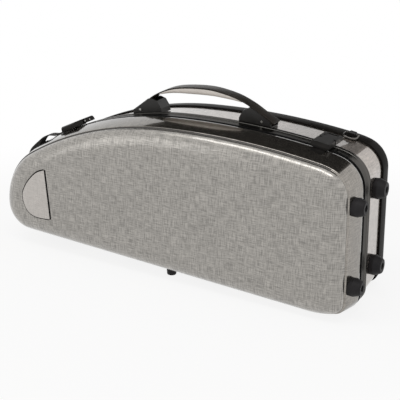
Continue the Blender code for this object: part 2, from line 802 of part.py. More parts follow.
def build_foot(name, seat, y, radius, inset_at, parts, parent=None):
    """A rubber foot that stands out from the wide end. Its base follows the wall behind it."""
    base = [FOOT_BORE_R + (radius - FOOT_BORE_R) * share for share in FOOT_BASE_SHARES]
    tip_r = radius * FOOT_TIP_SHARE

    def ring(ring_radius, rise=0.0, sink=None):
        points = []
        for down, across in circle(ring_radius, FOOT_STEPS):
            wall = GAP - inset_at(abs(y + across))
            h = wall + (FOOT_REACH - wall) * rise if sink is None else FOOT_REACH - sink
            points.append(seat.point(down, y + across, h))
        return points

    rings = [ring(item) for item in base]
    rings.append(ring(radius * FOOT_BULGE_SHARE, rise=FOOT_BULGE_AT_SHARE))
    rings.append(ring(tip_r + FOOT_EDGE, sink=FOOT_EDGE))
    rings.append(ring(tip_r, sink=0.0))
    rings.append(ring(FOOT_RECESS_R, sink=0.0))
    rings.append(ring(FOOT_RECESS_R, sink=FOOT_RECESS_DEPTH))
    rings.append(ring(FOOT_BORE_R, sink=FOOT_RECESS_DEPTH))
    return add_object(name, mesh_from_rings(name, rings, cyclic=True), "rubber", parts, parent)


def foot_screw(name, seat, y, inset_at):
    """A pan head in the foot's recess, its shank reaching the wall."""
    head = FOOT_REACH - FOOT_RECESS_DEPTH + GAP
    wall = GAP * 2 - inset_at(abs(y))
    profile = ((0.0, wall), (SCREW_SHANK_R, wall), (SCREW_SHANK_R, head), (SCREW_HEAD_R, head),
               (SCREW_HEAD_R, head + SCREW_HEAD_H * SCREW_EDGE_SHARE),
               (SCREW_HEAD_R * SCREW_EDGE_SHARE, head + SCREW_HEAD_H), (0.0, head + SCREW_HEAD_H))
    return turned(name, profile, SCREW_STEPS, lambda p: seat.point(p.x, y + p.y, p.z))


def build_end_set(word, y, radius, inset_at, parts, parent=None):
    for level, from_corner in zip(("lower", "upper"), FOOT_FROM_CORNER):
        seat = end_seat(from_corner)
        build_foot(f"end_foot_{word}_{level}", seat, y, radius, inset_at, parts, parent)
        name = f"foot_screw_{word}_{level}"
        add_object(name, foot_screw(name, seat, y, inset_at), "steel", parts, parent)


def build_stud(name, y, inset_at, parts, parent=None):
    """A stud under the bottom edge: a flat tip on the ground, its top following the wall."""
    foot = bottom_seat(STUD_FROM_HEEL).point(0.0, 0.0, 0.0)
    slope = math.radians(BOTTOM_SLOPE)
    rings = []
    for radius, height in ((STUD_TIP_R, 0.0), (STUD_TIP_R + FOOT_EDGE, FOOT_EDGE),
                           (STUD_R, None)):
        ring = []
        for across, deep in circle(radius, STUD_STEPS):
            wall = foot.z - across * math.tan(slope) + inset_at(abs(y + deep)) / math.cos(slope)
            z = wall - GAP if height is None else height
            ring.append(Vector((foot.x + across, SEAM_Y + y + deep, z)))
        rings.append(ring)
    return add_object(name, mesh_from_rings(name, rings), "rubber", parts, parent)


# Hinges


def axis_place(seat, y, h, low):
    """Maps a turned piece's axis to a line along s through (y, h)."""
    return lambda p: seat.point(low + p.z, y + p.x, h + p.y)


def build_hinge_leaf(name, seat, front, parts, cutters, parent=None):
    """One half of a hinge: a plate on the case with its knuckles, bored for the pin."""
    third = HINGE_WIDTH / 3
    half = HINGE_WIDTH / 2
    side = -1 if front else 1
    knuckles = ((-third / 2, third / 2),)
    if not front:
        knuckles = ((HINGE_SIDE_GAP - half, -third / 2 - HINGE_SIDE_GAP),
                    (third / 2 + HINGE_SIDE_GAP, half - HINGE_SIDE_GAP))
    edge = HINGE_AXIS_Y + side * (KNUCKLE_R + GAP)
    end = edge + side * LEAF_REACH
    rim = side * max(abs(edge) + GAP, FRONT_RIM_RUN)
    far = GAP - (front_inset(abs(end)) if front else 0.0)
    plate = ((edge, GAP), (rim, GAP), (end, far), (end, far + LEAF_WALL),
             (rim, GAP + LEAF_WALL), (edge, GAP + LEAF_WALL))
    leaf = add_object(name, prism(name, plate, -half, half, lambda a, b, s: seat.point(s, a, b)),
                      "black_metal", parts, parent)
    root = edge + side * LEAF_WALL
    neck = [(root, GAP + LEAF_WALL * NECK_SHARE), (root, GAP + LEAF_WALL * NECK_SHARE * 2)]
    round_points = circle(KNUCKLE_R, HINGE_STEPS, (HINGE_AXIS_Y, HINGE_DROP))
    for index, (low, high) in enumerate(knuckles):
        points = [seat.point(s, y, h) for s in (low, high) for y, h in round_points + neck]
        add_boolean(leaf, f"{name}_knuckle_{index}", hull_mesh("knuckle", points), "UNION",
                    cutters)
    length = HINGE_WIDTH + CUT_OVERRUN * 2
    bore = HINGE_PIN_R + PIN_CLEAR
    profile = ((0.0, 0.0), (bore, 0.0), (bore, length), (0.0, length))
    add_boolean(leaf, f"{name}_bore",
                turned("bore", profile, HINGE_STEPS,
                       axis_place(seat, HINGE_AXIS_Y, HINGE_DROP, -length / 2)),
                "DIFFERENCE", cutters)


def build_hinges(parts, cutters, lid):
    for word, from_heel in zip(("right", "middle", "left"), HINGE_FROM_HEEL):
        seat = bottom_seat(from_heel)
        build_hinge_leaf(f"hinge_leaf_front_{word}", seat, True, parts, cutters, lid)
        build_hinge_leaf(f"hinge_leaf_rear_{word}", seat, False, parts, cutters)
        name = f"hinge_pin_{word}"
        profile = ((0.0, 0.0), (HINGE_PIN_R, 0.0), (HINGE_PIN_R, HINGE_WIDTH),
                   (0.0, HINGE_WIDTH))
        place = axis_place(seat, HINGE_AXIS_Y, HINGE_DROP, -HINGE_WIDTH / 2)
        add_object(name, turned(name, profile, HINGE_STEPS, place), "steel", parts)


# Handle


def pin_spot(side):
    """World x and z of a handle pin: above the outline where it stands."""
    seat = top_seat(HANDLE_X + side * PIN_HALF_SPAN)
    spot = seat.point(0.0, 0.0, PIN_HEIGHT)
    return Vector((spot.x, spot.z))


def pin_profile(half_length):
    """A pin with a head at each end, along Y."""
    return ((0.0, -half_length - PIN_HEAD_H), (PIN_HEAD_R, -half_length - PIN_HEAD_H),
            (PIN_HEAD_R, -half_length), (PIN_R, -half_length), (PIN_R, half_length),
            (PIN_HEAD_R, half_length), (PIN_HEAD_R, half_length + PIN_HEAD_H),
            (0.0, half_length + PIN_HEAD_H))


def cross_place(spot):
    """Maps a turned piece's axis to a line along Y through the handle's middle."""
    return lambda p: Vector((spot.x + p.x, SEAM_Y + HANDLE_Y + p.z, spot.y + p.y))


def bore_mesh(radius, half_length, place):
    profile = ((0.0, -half_length), (radius, -half_length), (radius, half_length),
               (0.0, half_length))
    return turned("bore", profile, PIN_STEPS, place)


def curve_through(points, steps):
    """A smooth curve through points of any size (Catmull-Rom)."""
    padded = [points[0] * 2 - points[1]] + points + [points[-1] * 2 - points[-2]]
    curve = []
    for index in range(1, len(padded) - 2):
        before, first, last, after = padded[index - 1:index + 3]
        for step in range(steps):
            t = step / steps
            curve.append(0.5 * (2 * first + (last - before) * t
                                + (2 * before - 5 * first + 4 * last - after) * t ** 2
                                + (3 * first - before - 3 * last + after) * t ** 3))
    curve.append(points[-1])
    return curve


def from_shares(x, pairs):
    """Read a value from a list of (place, value) pairs with straight lines between them."""
    for (low, first), (high, last) in zip(pairs, pairs[1:]):
        if x <= high:
            return first + (last - first) * (x - low) / (high - low)
    return pairs[-1][1]


def arch_curve():
    """The strap's top line as (share of the half span, share of the rise)."""
    return curve_through([Vector(pair) for pair in ARCH_SHARES], ARCH_STEPS)


def arch_point(along, height):
    """World x and z from the arch's shares, above the line between the pins."""
    left, right = pin_spot(-1), pin_spot(1)
    middle = (left + right) / 2 + (right - left) / 2 * along
    return Vector((middle.x, middle.y + height * ARCH_RISE))


def strap_depth(along):
    share = from_shares(abs(along), STRAP_END_SHARES)
    return STRAP_WALL + (STRAP_END_DEPTH - STRAP_WALL) * share


def build_strap(parts, cutters):
    half = HANDLE_WIDTH / 2
    rings = []
    for along, height in arch_curve():
        top = arch_point(along, height)
        low = top.y - strap_depth(along)
        rings.append([Vector((top.x, SEAM_Y + HANDLE_Y + across, z))
                      for across, z in ((-half, top.y), (half, top.y), (half, low), (-half, low))])
    strap = add_object("handle_strap", mesh_from_rings("handle_strap", rings), "rubber", parts)
    for word, side in (("left", -1), ("right", 1)):
        bore = bore_mesh(PIN_R + PIN_CLEAR, half + CUT_OVERRUN, cross_place(pin_spot(side)))
        add_boolean(strap, f"strap_bore_{word}", bore, "DIFFERENCE", cutters)


def arch_height(along):
    curve = arch_curve()
    return from_shares(along, [(point.x, point.y) for point in curve])


def build_grip(parts):
    """The pale pad under the strap, deepest at the middle."""
    first, last = GRIP_SPAN_SHARES
    half = HANDLE_WIDTH / 2 - GRIP_SIDE_INSET
    rings = []
    for step in range(GRIP_STEPS + 1):
        share = step / GRIP_STEPS
        along = first + (last - first) * share
        spot = arch_point(along, arch_height(along))
        top = spot.y - strap_depth(along) - GAP
        depth = GRIP_EDGE + (GRIP_DEPTH - GRIP_EDGE) * math.sin(math.pi * share) ** GRIP_POWER
        inner = half - depth * GRIP_ROUND_SHARE
        low = top - depth
        shoulder = top - depth * (1 - GRIP_ROUND_SHARE)
        rings.append([Vector((spot.x, SEAM_Y + HANDLE_Y + across, z))
                      for across, z in ((-half, top), (half, top), (half, shoulder),
                                        (inner, low), (-inner, low), (-half, shoulder))])
    add_object("handle_grip", mesh_from_rings("handle_grip", rings), "grip", parts)


def wall_place(seat):
    """Maps (s, rise) and a depth to a spot that far above the rear shell's wall."""
    return lambda s, rise, y: seat.point(s, y, rise - rear_inset(y))


def build_bracket(name, side, parts, cutters):
    """A channel on the rear shell that holds one end of the strap between its cheeks."""
    seat = top_seat(HANDLE_X + side * (BRACKET_INNER_END + BRACKET_LENGTH / 2))
    half = HANDLE_WIDTH / 2 + BRACKET_SIDE_CLEAR + BRACKET_WALL
    cheek = [(side * BRACKET_LENGTH * (share - 1 / 2), GAP + BRACKET_HEIGHT * rise)
             for share, rise in BRACKET_SHARES]
    on_wall = wall_place(seat)
    mesh = prism(name, cheek, HANDLE_Y - half, HANDLE_Y + half, on_wall)
    bracket = add_object(name, mesh, "black_metal", parts)
    floor = GAP + BRACKET_WALL
    roof = BRACKET_HEIGHT + CUT_OVERRUN
    inner_end = -side * BRACKET_LENGTH / 2
    outer_end = side * (BRACKET_LENGTH / 2 + CUT_OVERRUN)
    behind_wall = [(inner_end + side * (BRACKET_LENGTH * share + BRACKET_WALL),
                    max(floor, GAP + BRACKET_HEIGHT * rise))
                   for share, rise in BRACKET_SHARES[:3]]
    slot = behind_wall + [(behind_wall[-1][0], roof), (outer_end, roof), (outer_end, floor)]
    inner = half - BRACKET_WALL
    add_boolean(bracket, f"{name}_slot",
                prism("slot", slot, HANDLE_Y - inner, HANDLE_Y + inner, on_wall),
                "DIFFERENCE", cutters)
    add_boolean(bracket, f"{name}_bore",
                bore_mesh(PIN_R + PIN_CLEAR, half + CUT_OVERRUN, cross_place(pin_spot(side))),
                "DIFFERENCE", cutters)


def build_handle(parts, cutters):
    for word, side in (("left", -1), ("right", 1)):
        build_bracket(f"handle_bracket_{word}", side, parts, cutters)
    build_strap(parts, cutters)
    build_grip(parts)
    half = HANDLE_WIDTH / 2 + BRACKET_SIDE_CLEAR + BRACKET_WALL + GAP
    for word, side in (("left", -1), ("right", 1)):
        name = f"handle_pin_{word}"
        mesh = turned(name, pin_profile(half), PIN_STEPS, cross_place(pin_spot(side)))
        add_object(name, mesh, "steel", parts)


# Draw latches


def slab(name, seat, profile, half):
    """A profile of (y, h) pairs extruded across a latch."""
    return prism(name, profile, -half, half, lambda a, b, s: seat.point(s, a, b))


def latch_bore(seat, y, h, radius=LATCH_PIN_R + PIN_CLEAR):
    half = LATCH_WIDTH / 2 + CUT_OVERRUN
    profile = ((0.0, 0.0), (radius, 0.0), (radius, half * 2), (0.0, half * 2))
    return turned("bore", profile, PIN_STEPS, axis_place(seat, y, h, -half))


def build_latch_base(word, seat, parts, cutters):
    name = f"latch_base_{word}"
    low, high = LATCH_BASE_Y
    top = GAP + LATCH_BASE_WALL
    plate = rectangle(low, high, GAP, top)
    base = add_object(name, slab(name, seat, plate, LATCH_BASE_HALF + GAP), "black_metal", parts)
    radius = LATCH_TOP - LATCH_SHEET - LEVER_PIVOT_H - GAP
    foot = top - LATCH_BASE_WALL / 2
    points = circle(radius, EAR_STEPS, (LEVER_PIVOT_Y, LEVER_PIVOT_H))
    points += [(LEVER_PIVOT_Y - radius, foot), (LEVER_PIVOT_Y + radius, foot)]
    for end, edge in (("outer", LATCH_BASE_HALF), ("inner", EAR_WALL - LATCH_BASE_HALF)):
        ear = hull_mesh("ear", [seat.point(s, y, h) for s in (edge - EAR_WALL, edge)
                                for y, h in points])
        add_boolean(base, f"{name}_ear_{end}", ear, "UNION", cutters)
    add_boolean(base, f"{name}_bore", latch_bore(seat, LEVER_PIVOT_Y, LEVER_PIVOT_H),
                "DIFFERENCE", cutters)


def build_latch_claw(word, seat, parts, cutters, parent):
    name = f"latch_claw_{word}"
    half = LATCH_WIDTH / 2
    nose = LATCH_TOP * LATCH_NOSE_SHARE
    profile = ((LATCH_NOSE_Y, LATCH_SIDE_FOOT), (LATCH_SPLIT_Y, LATCH_SIDE_FOOT),
               (LATCH_SPLIT_Y, LATCH_TOP), (LATCH_NOSE_Y + nose, LATCH_TOP),
               (LATCH_NOSE_Y + nose / 3, LATCH_TOP - nose / 3),
               (LATCH_NOSE_Y, LATCH_TOP - nose))
    claw = add_object(name, slab(name, seat, profile, half), "black_metal", parts, parent)
    inside = rectangle(LATCH_NOSE_Y + LATCH_SHEET, LATCH_SPLIT_Y + CUT_OVERRUN,
                       LATCH_SIDE_FOOT - CUT_OVERRUN, LATCH_TOP - LATCH_SHEET)
    add_boolean(claw, f"{name}_inside", slab("inside", seat, inside, half - LATCH_SHEET),
                "DIFFERENCE", cutters)
    tongue = rectangle(LATCH_SPLIT_Y - LATCH_SHEET * 2, TONGUE_END_Y, TONGUE_FOOT,
                       LATCH_TOP - TONGUE_DROP)
    add_boolean(claw, f"{name}_tongue", slab("tongue", seat, tongue, TONGUE_HALF), "UNION",
                cutters)
    add_boolean(claw, f"{name}_bore", latch_bore(seat, CLAW_PIN_Y, CLAW_PIN_H), "DIFFERENCE",
                cutters)


def build_latch_lever(word, seat, parts, cutters, parent):
    name = f"latch_lever_{word}"
    half = LATCH_WIDTH / 2
    nose = LATCH_TOP * LATCH_NOSE_SHARE
    profile = ((LEVER_START_Y, LATCH_SIDE_FOOT), (LATCH_REAR_Y, LATCH_SIDE_FOOT),
               (LATCH_REAR_Y, LATCH_TOP - nose), (LATCH_REAR_Y - nose / 3, LATCH_TOP - nose / 3),
               (LATCH_REAR_Y - nose, LATCH_TOP), (LEVER_START_Y, LATCH_TOP))
    lever = add_object(name, slab(name, seat, profile, half), "black_metal", parts, parent)
    inside = rectangle(LEVER_START_Y - CUT_OVERRUN, LATCH_REAR_Y - LATCH_SHEET,
                       LATCH_SIDE_FOOT - CUT_OVERRUN, LATCH_TOP - LATCH_SHEET)
    add_boolean(lever, f"{name}_inside", slab("inside", seat, inside, half - LATCH_SHEET),
                "DIFFERENCE", cutters)
    notch = rectangle(LEVER_START_Y - CUT_OVERRUN, NOTCH_END_Y, LATCH_SIDE_FOOT,
                      LATCH_TOP + CUT_OVERRUN)
    add_boolean(lever, f"{name}_notch", slab("notch", seat, notch, NOTCH_HALF), "DIFFERENCE",
                cutters)
    for item, y, h in (("pivot", LEVER_PIVOT_Y, LEVER_PIVOT_H), ("claw", CLAW_PIN_Y, CLAW_PIN_H)):
        add_boolean(lever, f"{name}_{item}_bore", latch_bore(seat, y, h), "DIFFERENCE", cutters)


def build_latch_pins(word, seat, parts, lever):
    """Two stub pivots at the ears, and the pin that carries the claw on the lever."""
    half = LATCH_WIDTH / 2
    stub = half - TONGUE_HALF - EAR_INSIDE
    profile = ((0.0, 0.0), (LATCH_PIN_R, 0.0), (LATCH_PIN_R, stub), (0.0, stub))
    for end, low in (("outer", -half), ("inner", half - stub)):
        name = f"latch_pivot_{end}_{word}"
        place = axis_place(seat, LEVER_PIVOT_Y, LEVER_PIVOT_H, low)
        add_object(name, turned(name, profile, PIN_STEPS, place), "steel", parts)
    profile = ((0.0, 0.0), (LATCH_PIN_R, 0.0), (LATCH_PIN_R, half * 2), (0.0, half * 2))
    name = f"latch_claw_pin_{word}"
    add_object(name, turned(name, profile, PIN_STEPS,
                            axis_place(seat, CLAW_PIN_Y, CLAW_PIN_H, -half)),
               "steel", parts, lever)


def build_keeper(word, seat, parts, lid):
    low, high = KEEPER_Y
    profile = ((high, GAP - front_inset(abs(high))), (low, GAP - front_inset(abs(low))),
               (low, GAP + KEEPER_WALL - front_inset(abs(low))),
               (high, GAP + KEEPER_WALL - front_inset(abs(high))))
    add_object(f"latch_keeper_{word}", slab(f"latch_keeper_{word}", seat, profile, KEEPER_HALF),
               "black_metal", parts, lid)


def build_latch(word, x, parts, cutters, lid):
    seat = top_seat(x)
    lever = add_empty(f"latch_lever_{word}_axis", seat.point(0.0, LEVER_PIVOT_Y, LEVER_PIVOT_H))
    claw = add_empty(f"latch_claw_{word}_axis", seat.point(0.0, CLAW_PIN_Y, CLAW_PIN_H), lever)
    build_latch_base(word, seat, parts, cutters)
    build_latch_lever(word, seat, parts, cutters, lever)
    build_latch_claw(word, seat, parts, cutters, claw)
    build_latch_pins(word, seat, parts, lever)
    build_keeper(word, seat, parts, lid)


# Webbing loop and ring


def loop_spot(share):
    """The run and heading under the webbing at a share of its length, from its lower end."""
    lower, upper = RUNS["nose_top"], RUNS["shoulder"]
    latch = top_seat(LATCH_X[0]).point(-LATCH_WIDTH / 2 - LOOP_FROM_LATCH, 0.0, 0.0)
    away = Vector((latch.x, latch.z)) - upper["centre"]
    start = math.degrees(math.atan2(away.x, -away.y)) % 360.0
    distance = LOOP_LENGTH * (1.0 - share)
    upper_length = upper["radius"] * math.radians(upper["last"] - start)
    if distance <= upper_length:
        return upper, start + math.degrees(distance / upper["radius"])
    return lower, lower["first"] + math.degrees((distance - upper_length) / lower["radius"])


def build_webbing_loop(parts):
    """A strap on the rim band: folded thick at its lower end, with a bow above that."""
    low, high = LOOP_Y
    rings = []
    for step in range(LOOP_STEPS + 1):
        share = step / LOOP_STEPS
        run, heading = loop_spot(share)
        low_lift = GAP + LOOP_LIFT * from_shares(share, LOOP_INNER_SHARES)
        top_lift = LOOP_LIFT * from_shares(share, LOOP_OUTER_SHARES)
        inner = arc_point(run["centre"], run["radius"] + low_lift, heading)
        outer = arc_point(run["centre"], run["radius"] + top_lift, heading)
        rings.append([Vector((spot.x, SEAM_Y + y, spot.y))
                      for spot, y in ((inner, low), (outer, low), (outer, high), (inner, high))])
    add_object("webbing_loop", mesh_from_rings("webbing_loop", rings), "webbing", parts)
    for word, share in zip(("lower", "upper"), LOOP_RIVET_SHARES):
        run, heading = loop_spot(share)
        lift = LOOP_LIFT * from_shares(share, LOOP_OUTER_SHARES) + GAP
        foot = arc_point(run["centre"], run["radius"] + lift, heading)
        seat = Seat(foot, heading)
        profile = ((0.0, 0.0), (LOOP_RIVET_R, 0.0),
                   (LOOP_RIVET_R * SCREW_EDGE_SHARE, LOOP_RIVET_H), (0.0, LOOP_RIVET_H))
        middle = sum(LOOP_Y) / 2
        name = f"loop_rivet_{word}"
        mesh = turned(name, profile, SCREW_STEPS,
                      lambda p, seat=seat: seat.point(p.x, middle + p.y, p.z))
        add_object(name, mesh, "steel", parts)


def build_ring(parts, parent):
    """A wire ring hinged on the bumper, lying forward on the shell."""
    seat = top_seat(RING_X)
    half = RING_WIDTH / 2
    corner = RING_CORNER_SHARE * RING_WIDTH
    flat = [(-half, 0.0), (half, 0.0), (half, RING_REACH - corner)]
    for step in range(RING_STEPS + 1):
        angle = math.pi * step / RING_STEPS
        flat.append((math.cos(angle) * half,
                     RING_REACH - corner + math.sin(angle) * corner))
    flat.append((-half, RING_REACH - corner))
    points = []
    for s, reach in dict.fromkeys(flat):
        h = RING_BAR_H + (RING_END_H - RING_BAR_H) * reach / RING_REACH
        points.append(seat.point(s, RING_BAR_Y - reach, h))
    curve = bpy.data.curves.new("carry_ring", "CURVE")
    curve.dimensions = "3D"
    curve.bevel_depth = RING_WIRE_R
    curve.bevel_resolution = 2
    spline = curve.splines.new("POLY")
    spline.points.add(len(points) - 1)
    for target, point in zip(spline.points, points):
        target.co = (*point, 1.0)
    spline.use_cyclic_u = True
    guide = bpy.data.objects.new("ring_guide", curve)
    bpy.context.scene.collection.objects.link(guide)
    evaluated = guide.evaluated_get(bpy.context.evaluated_depsgraph_get())
    mesh = bpy.data.meshes.new_from_object(evaluated)
    bpy.data.objects.remove(guide, do_unlink=True)
    add_object("carry_ring", mesh, "steel", parts, parent)


def build_ring_clip(parts, cutters):
    """A saddle on the bumper that holds the ring's bar."""
    seat = top_seat(RING_X)
    ring_bore = RING_WIRE_R + PIN_CLEAR
    low = RING_CLIP_FOOT_H
    top = RING_BAR_H + ring_bore + RING_CLIP_WALL
    profile = rectangle(RING_BAR_Y - RING_CLIP_REACH, RING_BAR_Y + RING_CLIP_REACH, low, top)
    clip = add_object("ring_clip", slab("ring_clip", seat, profile, RING_CLIP_WIDTH / 2),
                      "black_metal", parts)
    shape = ((0.0, 0.0), (ring_bore, 0.0), (ring_bore, RING_WIDTH), (0.0, RING_WIDTH))
    add_boolean(clip, "ring_clip_bore",
                turned("bore", shape, PIN_STEPS,
                       axis_place(seat, RING_BAR_Y, RING_BAR_H, -RING_WIDTH / 2)),
                "DIFFERENCE", cutters)


def build_badge(parts, lid):
    """A bare half-moon plate on the front face."""
    points = [(BADGE_CORNER[0] + BADGE_SIZE[0] * across, BADGE_CORNER[1] + BADGE_SIZE[1] * up)
              for across, up in curve_through([Vector(pair) for pair in BADGE_SHARES],
                                              BADGE_STEPS)]
    mesh = prism("badge_plate", points, FRONT_DEPTH + GAP, FRONT_DEPTH + GAP + BADGE_THICK,
                 depth_place(-1))
    add_object("badge_plate", mesh, "plate", parts, lid)


def add_empty(name, place, parent=None):
    empty = bpy.data.objects.new(name, None)
    empty.empty_display_size = EMPTY_SIZE
    bpy.context.scene.collection.objects.link(empty)
    empty.location = place
    if parent is not None:
        empty.parent = parent
        bpy.context.view_layer.update()
        empty.matrix_parent_inverse = parent.matrix_world.inverted()
    bpy.context.view_layer.update()
    return empty


def main():
    clear_scene()
    parts, cutters = make_collections()
    middle = bottom_seat(HINGE_FROM_HEEL[1])
    lid = add_empty("lid_axis", middle.point(0.0, HINGE_AXIS_Y, HINGE_DROP))
    build_shell("rear_shell", rear_path(), 1, parts)
    build_shell("front_shell", front_path(), -1, parts, lid)
    build_seal(parts)
    build_rim_band(parts)
    build_bumper(parts)
    build_rear_pad(parts, cutters)
    build_lid_pad(parts, cutters, lid)
    build_end_set("front", FRONT_FOOT_Y, FRONT_FOOT_R, front_inset, parts, lid)
    build_end_set("rear", REAR_FOOT_Y, REAR_FOOT_R, rear_inset, parts)
    build_stud("bottom_stud_front", STUD_FRONT_Y, front_inset, parts, lid)
    build_stud("bottom_stud_rear", STUD_REAR_Y, rear_inset, parts)
    build_hinges(parts, cutters, lid)
    build_handle(parts, cutters)
    for word, x in zip(("left", "right"), LATCH_X):
        build_latch(word, x, parts, cutters, lid)
    build_webbing_loop(parts)
    ring_seat = top_seat(RING_X)
    ring_axis = add_empty("carry_ring_axis", ring_seat.point(0.0, RING_BAR_Y, RING_BAR_H))
    build_ring(parts, ring_axis)
    build_ring_clip(parts, cutters)
    build_badge(parts, lid)


main()
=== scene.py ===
"""Looks of the alto saxophone case: linen shells under clear coat, dark band, bumper, fittings."""

import functools
import math

import bmesh
import bpy
from mathutils import Matrix, Vector


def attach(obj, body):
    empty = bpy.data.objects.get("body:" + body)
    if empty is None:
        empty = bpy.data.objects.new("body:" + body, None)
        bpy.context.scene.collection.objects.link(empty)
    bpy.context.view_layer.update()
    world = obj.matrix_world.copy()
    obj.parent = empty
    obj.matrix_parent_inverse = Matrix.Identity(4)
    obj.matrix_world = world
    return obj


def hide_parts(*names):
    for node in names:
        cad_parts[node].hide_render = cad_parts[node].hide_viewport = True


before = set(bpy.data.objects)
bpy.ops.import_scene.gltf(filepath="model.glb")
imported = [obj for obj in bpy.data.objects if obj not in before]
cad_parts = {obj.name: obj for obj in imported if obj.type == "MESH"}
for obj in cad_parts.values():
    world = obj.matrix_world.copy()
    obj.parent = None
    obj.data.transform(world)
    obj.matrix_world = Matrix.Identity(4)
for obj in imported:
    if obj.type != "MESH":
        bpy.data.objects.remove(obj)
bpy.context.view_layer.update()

# The outline and depths repeat part.py's driving dimensions, in metres and degrees of heading
TOP_CORNER_R = 0.050
TOP_TURN_R = 0.133
CREST_R = 1.186
SHOULDER_R = 0.550
NOSE_TOP_R = 0.114
NOSE_LOW_R = 0.052
HEEL_R = 0.148
BOTTOM_CORNER_R = 0.023
CORNER_FLOOR_R = 0.018
END_LEAN = 2.2
BOTTOM_SLOPE = 2.2
TURN_START = 162.2
CREST_START = 171.5
CREST_MID = 183.6
SHOULDER_END = 212.3
NOSE_LOW_START = 272.2
HEEL_END = 18.1
DATUM_FROM_END = 0.2723
FRONT_WALL_DEPTH = 0.0375
FRONT_DRAFT = 0.0066
FRONT_RIM_RUN = 0.002
CREASE_STEP = 0.0012
FRONT_FILLET_IN = 0.030
FRONT_FILLET_RISE = 0.0157
RIM_BAND_DEPTH = 0.0323
REAR_WALL_DEPTH = 0.097
REAR_DRAFT = 0.0031
WALL_TAPER = 0.007
BUMPER_RUN = 0.023
BUMPER_RUN_TAPER = 0.0083
BUMPER_LEAN = 0.0006
REAR_FILLET_IN = 0.020
REAR_FILLET_RISE = 0.0143
REAR_FILLET_TAPER = 0.005
BUMPER_LAND = 0.0042
BUMPER_WALL = 0.0022
SHELL_WALL = 0.0020
GAP = 0.0003
RIM_BAND_WALL = 0.0023
RIM_GROOVE = 0.0007
RIM_GROOVE_Y = (0.0120, 0.0250)
SEAL_DEPTH = 0.0044
SEAL_INSET = 0.0006
SEAL_WIDTH = 0.0038
BADGE_THICK = 0.0012
BADGE_CORNER = (-0.3020, 0.0610)
BADGE_SIZE = (0.0543, 0.0843)
BADGE_SHARES = [(0.847, 1.0), (0.534, 0.905), (0.214, 0.69), (0.03, 0.48), (0.0, 0.33),
                (0.10, 0.13), (0.29, 0.02), (0.55, -0.015), (1.0, 0.0)]
BADGE_STEPS = 8
# Painted shadow round the badge plate: how far its black sheet reaches out, and how thick it is
BADGE_SHADOW_OUT = 0.0021
BADGE_SHADOW_THICK = 0.00025
FOOT_FROM_CORNER = (0.0255, 0.1480)
FRONT_FOOT_Y = -0.0235
REAR_FOOT_Y = 0.066
FOOT_REACH = 0.0130
FRONT_FOOT_R = 0.0137
REAR_FOOT_R = 0.0155
FOOT_TIP_SHARE = 0.70
FOOT_BULGE_SHARE = 1.03
FOOT_BULGE_AT_SHARE = 0.35
FOOT_EDGE = 0.0015
FOOT_RECESS_R = 0.0052
FOOT_RECESS_DEPTH = 0.0060
FOOT_BORE_R = 0.0022
STUD_FROM_HEEL = 0.2390
STUD_FRONT_Y = -0.020
STUD_REAR_Y = 0.050
STUD_R = 0.0085
STUD_TIP_R = 0.0060
HANDLE_Y = 0.0463
HANDLE_X = -0.0178
HANDLE_WIDTH = 0.0225
STRAP_WALL = 0.0020
STRAP_END_DEPTH = 0.0125
PIN_HALF_SPAN = 0.1064
PIN_HEIGHT = 0.0050
ARCH_RISE = 0.0422
ARCH_SHARES = [(-1.16, -0.06), (-1.0, 0.17), (-0.912, 0.35), (-0.794, 0.575), (-0.60, 0.815),
               (-0.41, 0.945), (-0.144, 1.01), (0.10, 1.01), (0.30, 0.946), (0.556, 0.785),
               (0.792, 0.524), (1.0, 0.21), (1.172, -0.02)]
STRAP_END_SHARES = [(0.0, 0.0), (0.78, 0.0), (0.88, 0.35), (1.0, 0.95), (1.12, 0.45),
                    (1.172, 0.15)]
GRIP_SPAN_SHARES = (-0.70, 0.66)
GRIP_DEPTH = 0.0098
GRIP_EDGE = 0.0010
GRIP_SIDE_INSET = 0.0004
GRIP_POWER = 0.7
LATCH_X_LEFT = -0.2415
LATCH_WIDTH = 0.027
LOOP_FROM_LATCH = 0.0025
LOOP_LENGTH = 0.105
LOOP_LIFT = 0.0092
LOOP_INNER_SHARES = [(0.0, 0.0), (0.39, 0.0), (0.448, 0.43), (0.524, 0.77), (0.62, 0.70),
                     (0.667, 0.59), (0.762, 0.07), (0.79, 0.0), (1.0, 0.0)]
LOOP_OUTER_SHARES = [(0.0, 0.26), (0.048, 0.54), (0.19, 0.85), (0.333, 0.84), (0.39, 0.84),
                     (0.448, 0.88), (0.524, 1.0), (0.62, 0.93), (0.667, 0.82), (0.762, 0.33),
                     (0.81, 0.26), (1.0, 0.26)]
LOOP_Y = (0.0065, 0.0215)

# Steps along each curve of the shown pieces
RUN_STEPS = {"top_corner": 26, "top_turn": 8, "crest": 26, "shoulder": 34, "nose_top": 28,
             "nose_low": 26, "bottom": 24, "heel": 14, "bottom_corner": 20, "side": 8}
FILLET_STEPS = 14
ROUND_STEPS = 4
FOOT_STEPS = 48
ARCH_STEPS = 10
SECTION_STEPS = 7
LOOP_STEPS = 60
GRIP_STEPS = 48
EASE_STEPS = 4

# Edge rounds in metres, then shares, powers and angles
CREASE_ROUND = 0.0010
LIP_ROUND = 0.0009
BAND_ROUND = 0.00035
SEAL_ROUND = 0.0012
STRAP_ROUND = 0.0009
METAL_ROUND = 0.0005
STEEL_ROUND = 0.0002
FOOT_ROUNDS = [0, 0.0006, 0.004, 0.0008, 0.0005, 0.0006, 0.0004, 0]
ROUND_REACH_SHARE = 0.45
STUD_EDGE_SHARES = (0.7, 0.3)
STRAP_TUCK_SECTIONS = 2
GRIP_FLARE_POWER = 0.35
GRIP_BELLY_POWER = 0.8
LOOP_EASE_SHARE = 0.03
SHARP_ANGLE = 38.0
BEVEL_ANGLE = 40.0
BEVEL_SEGMENTS = 2

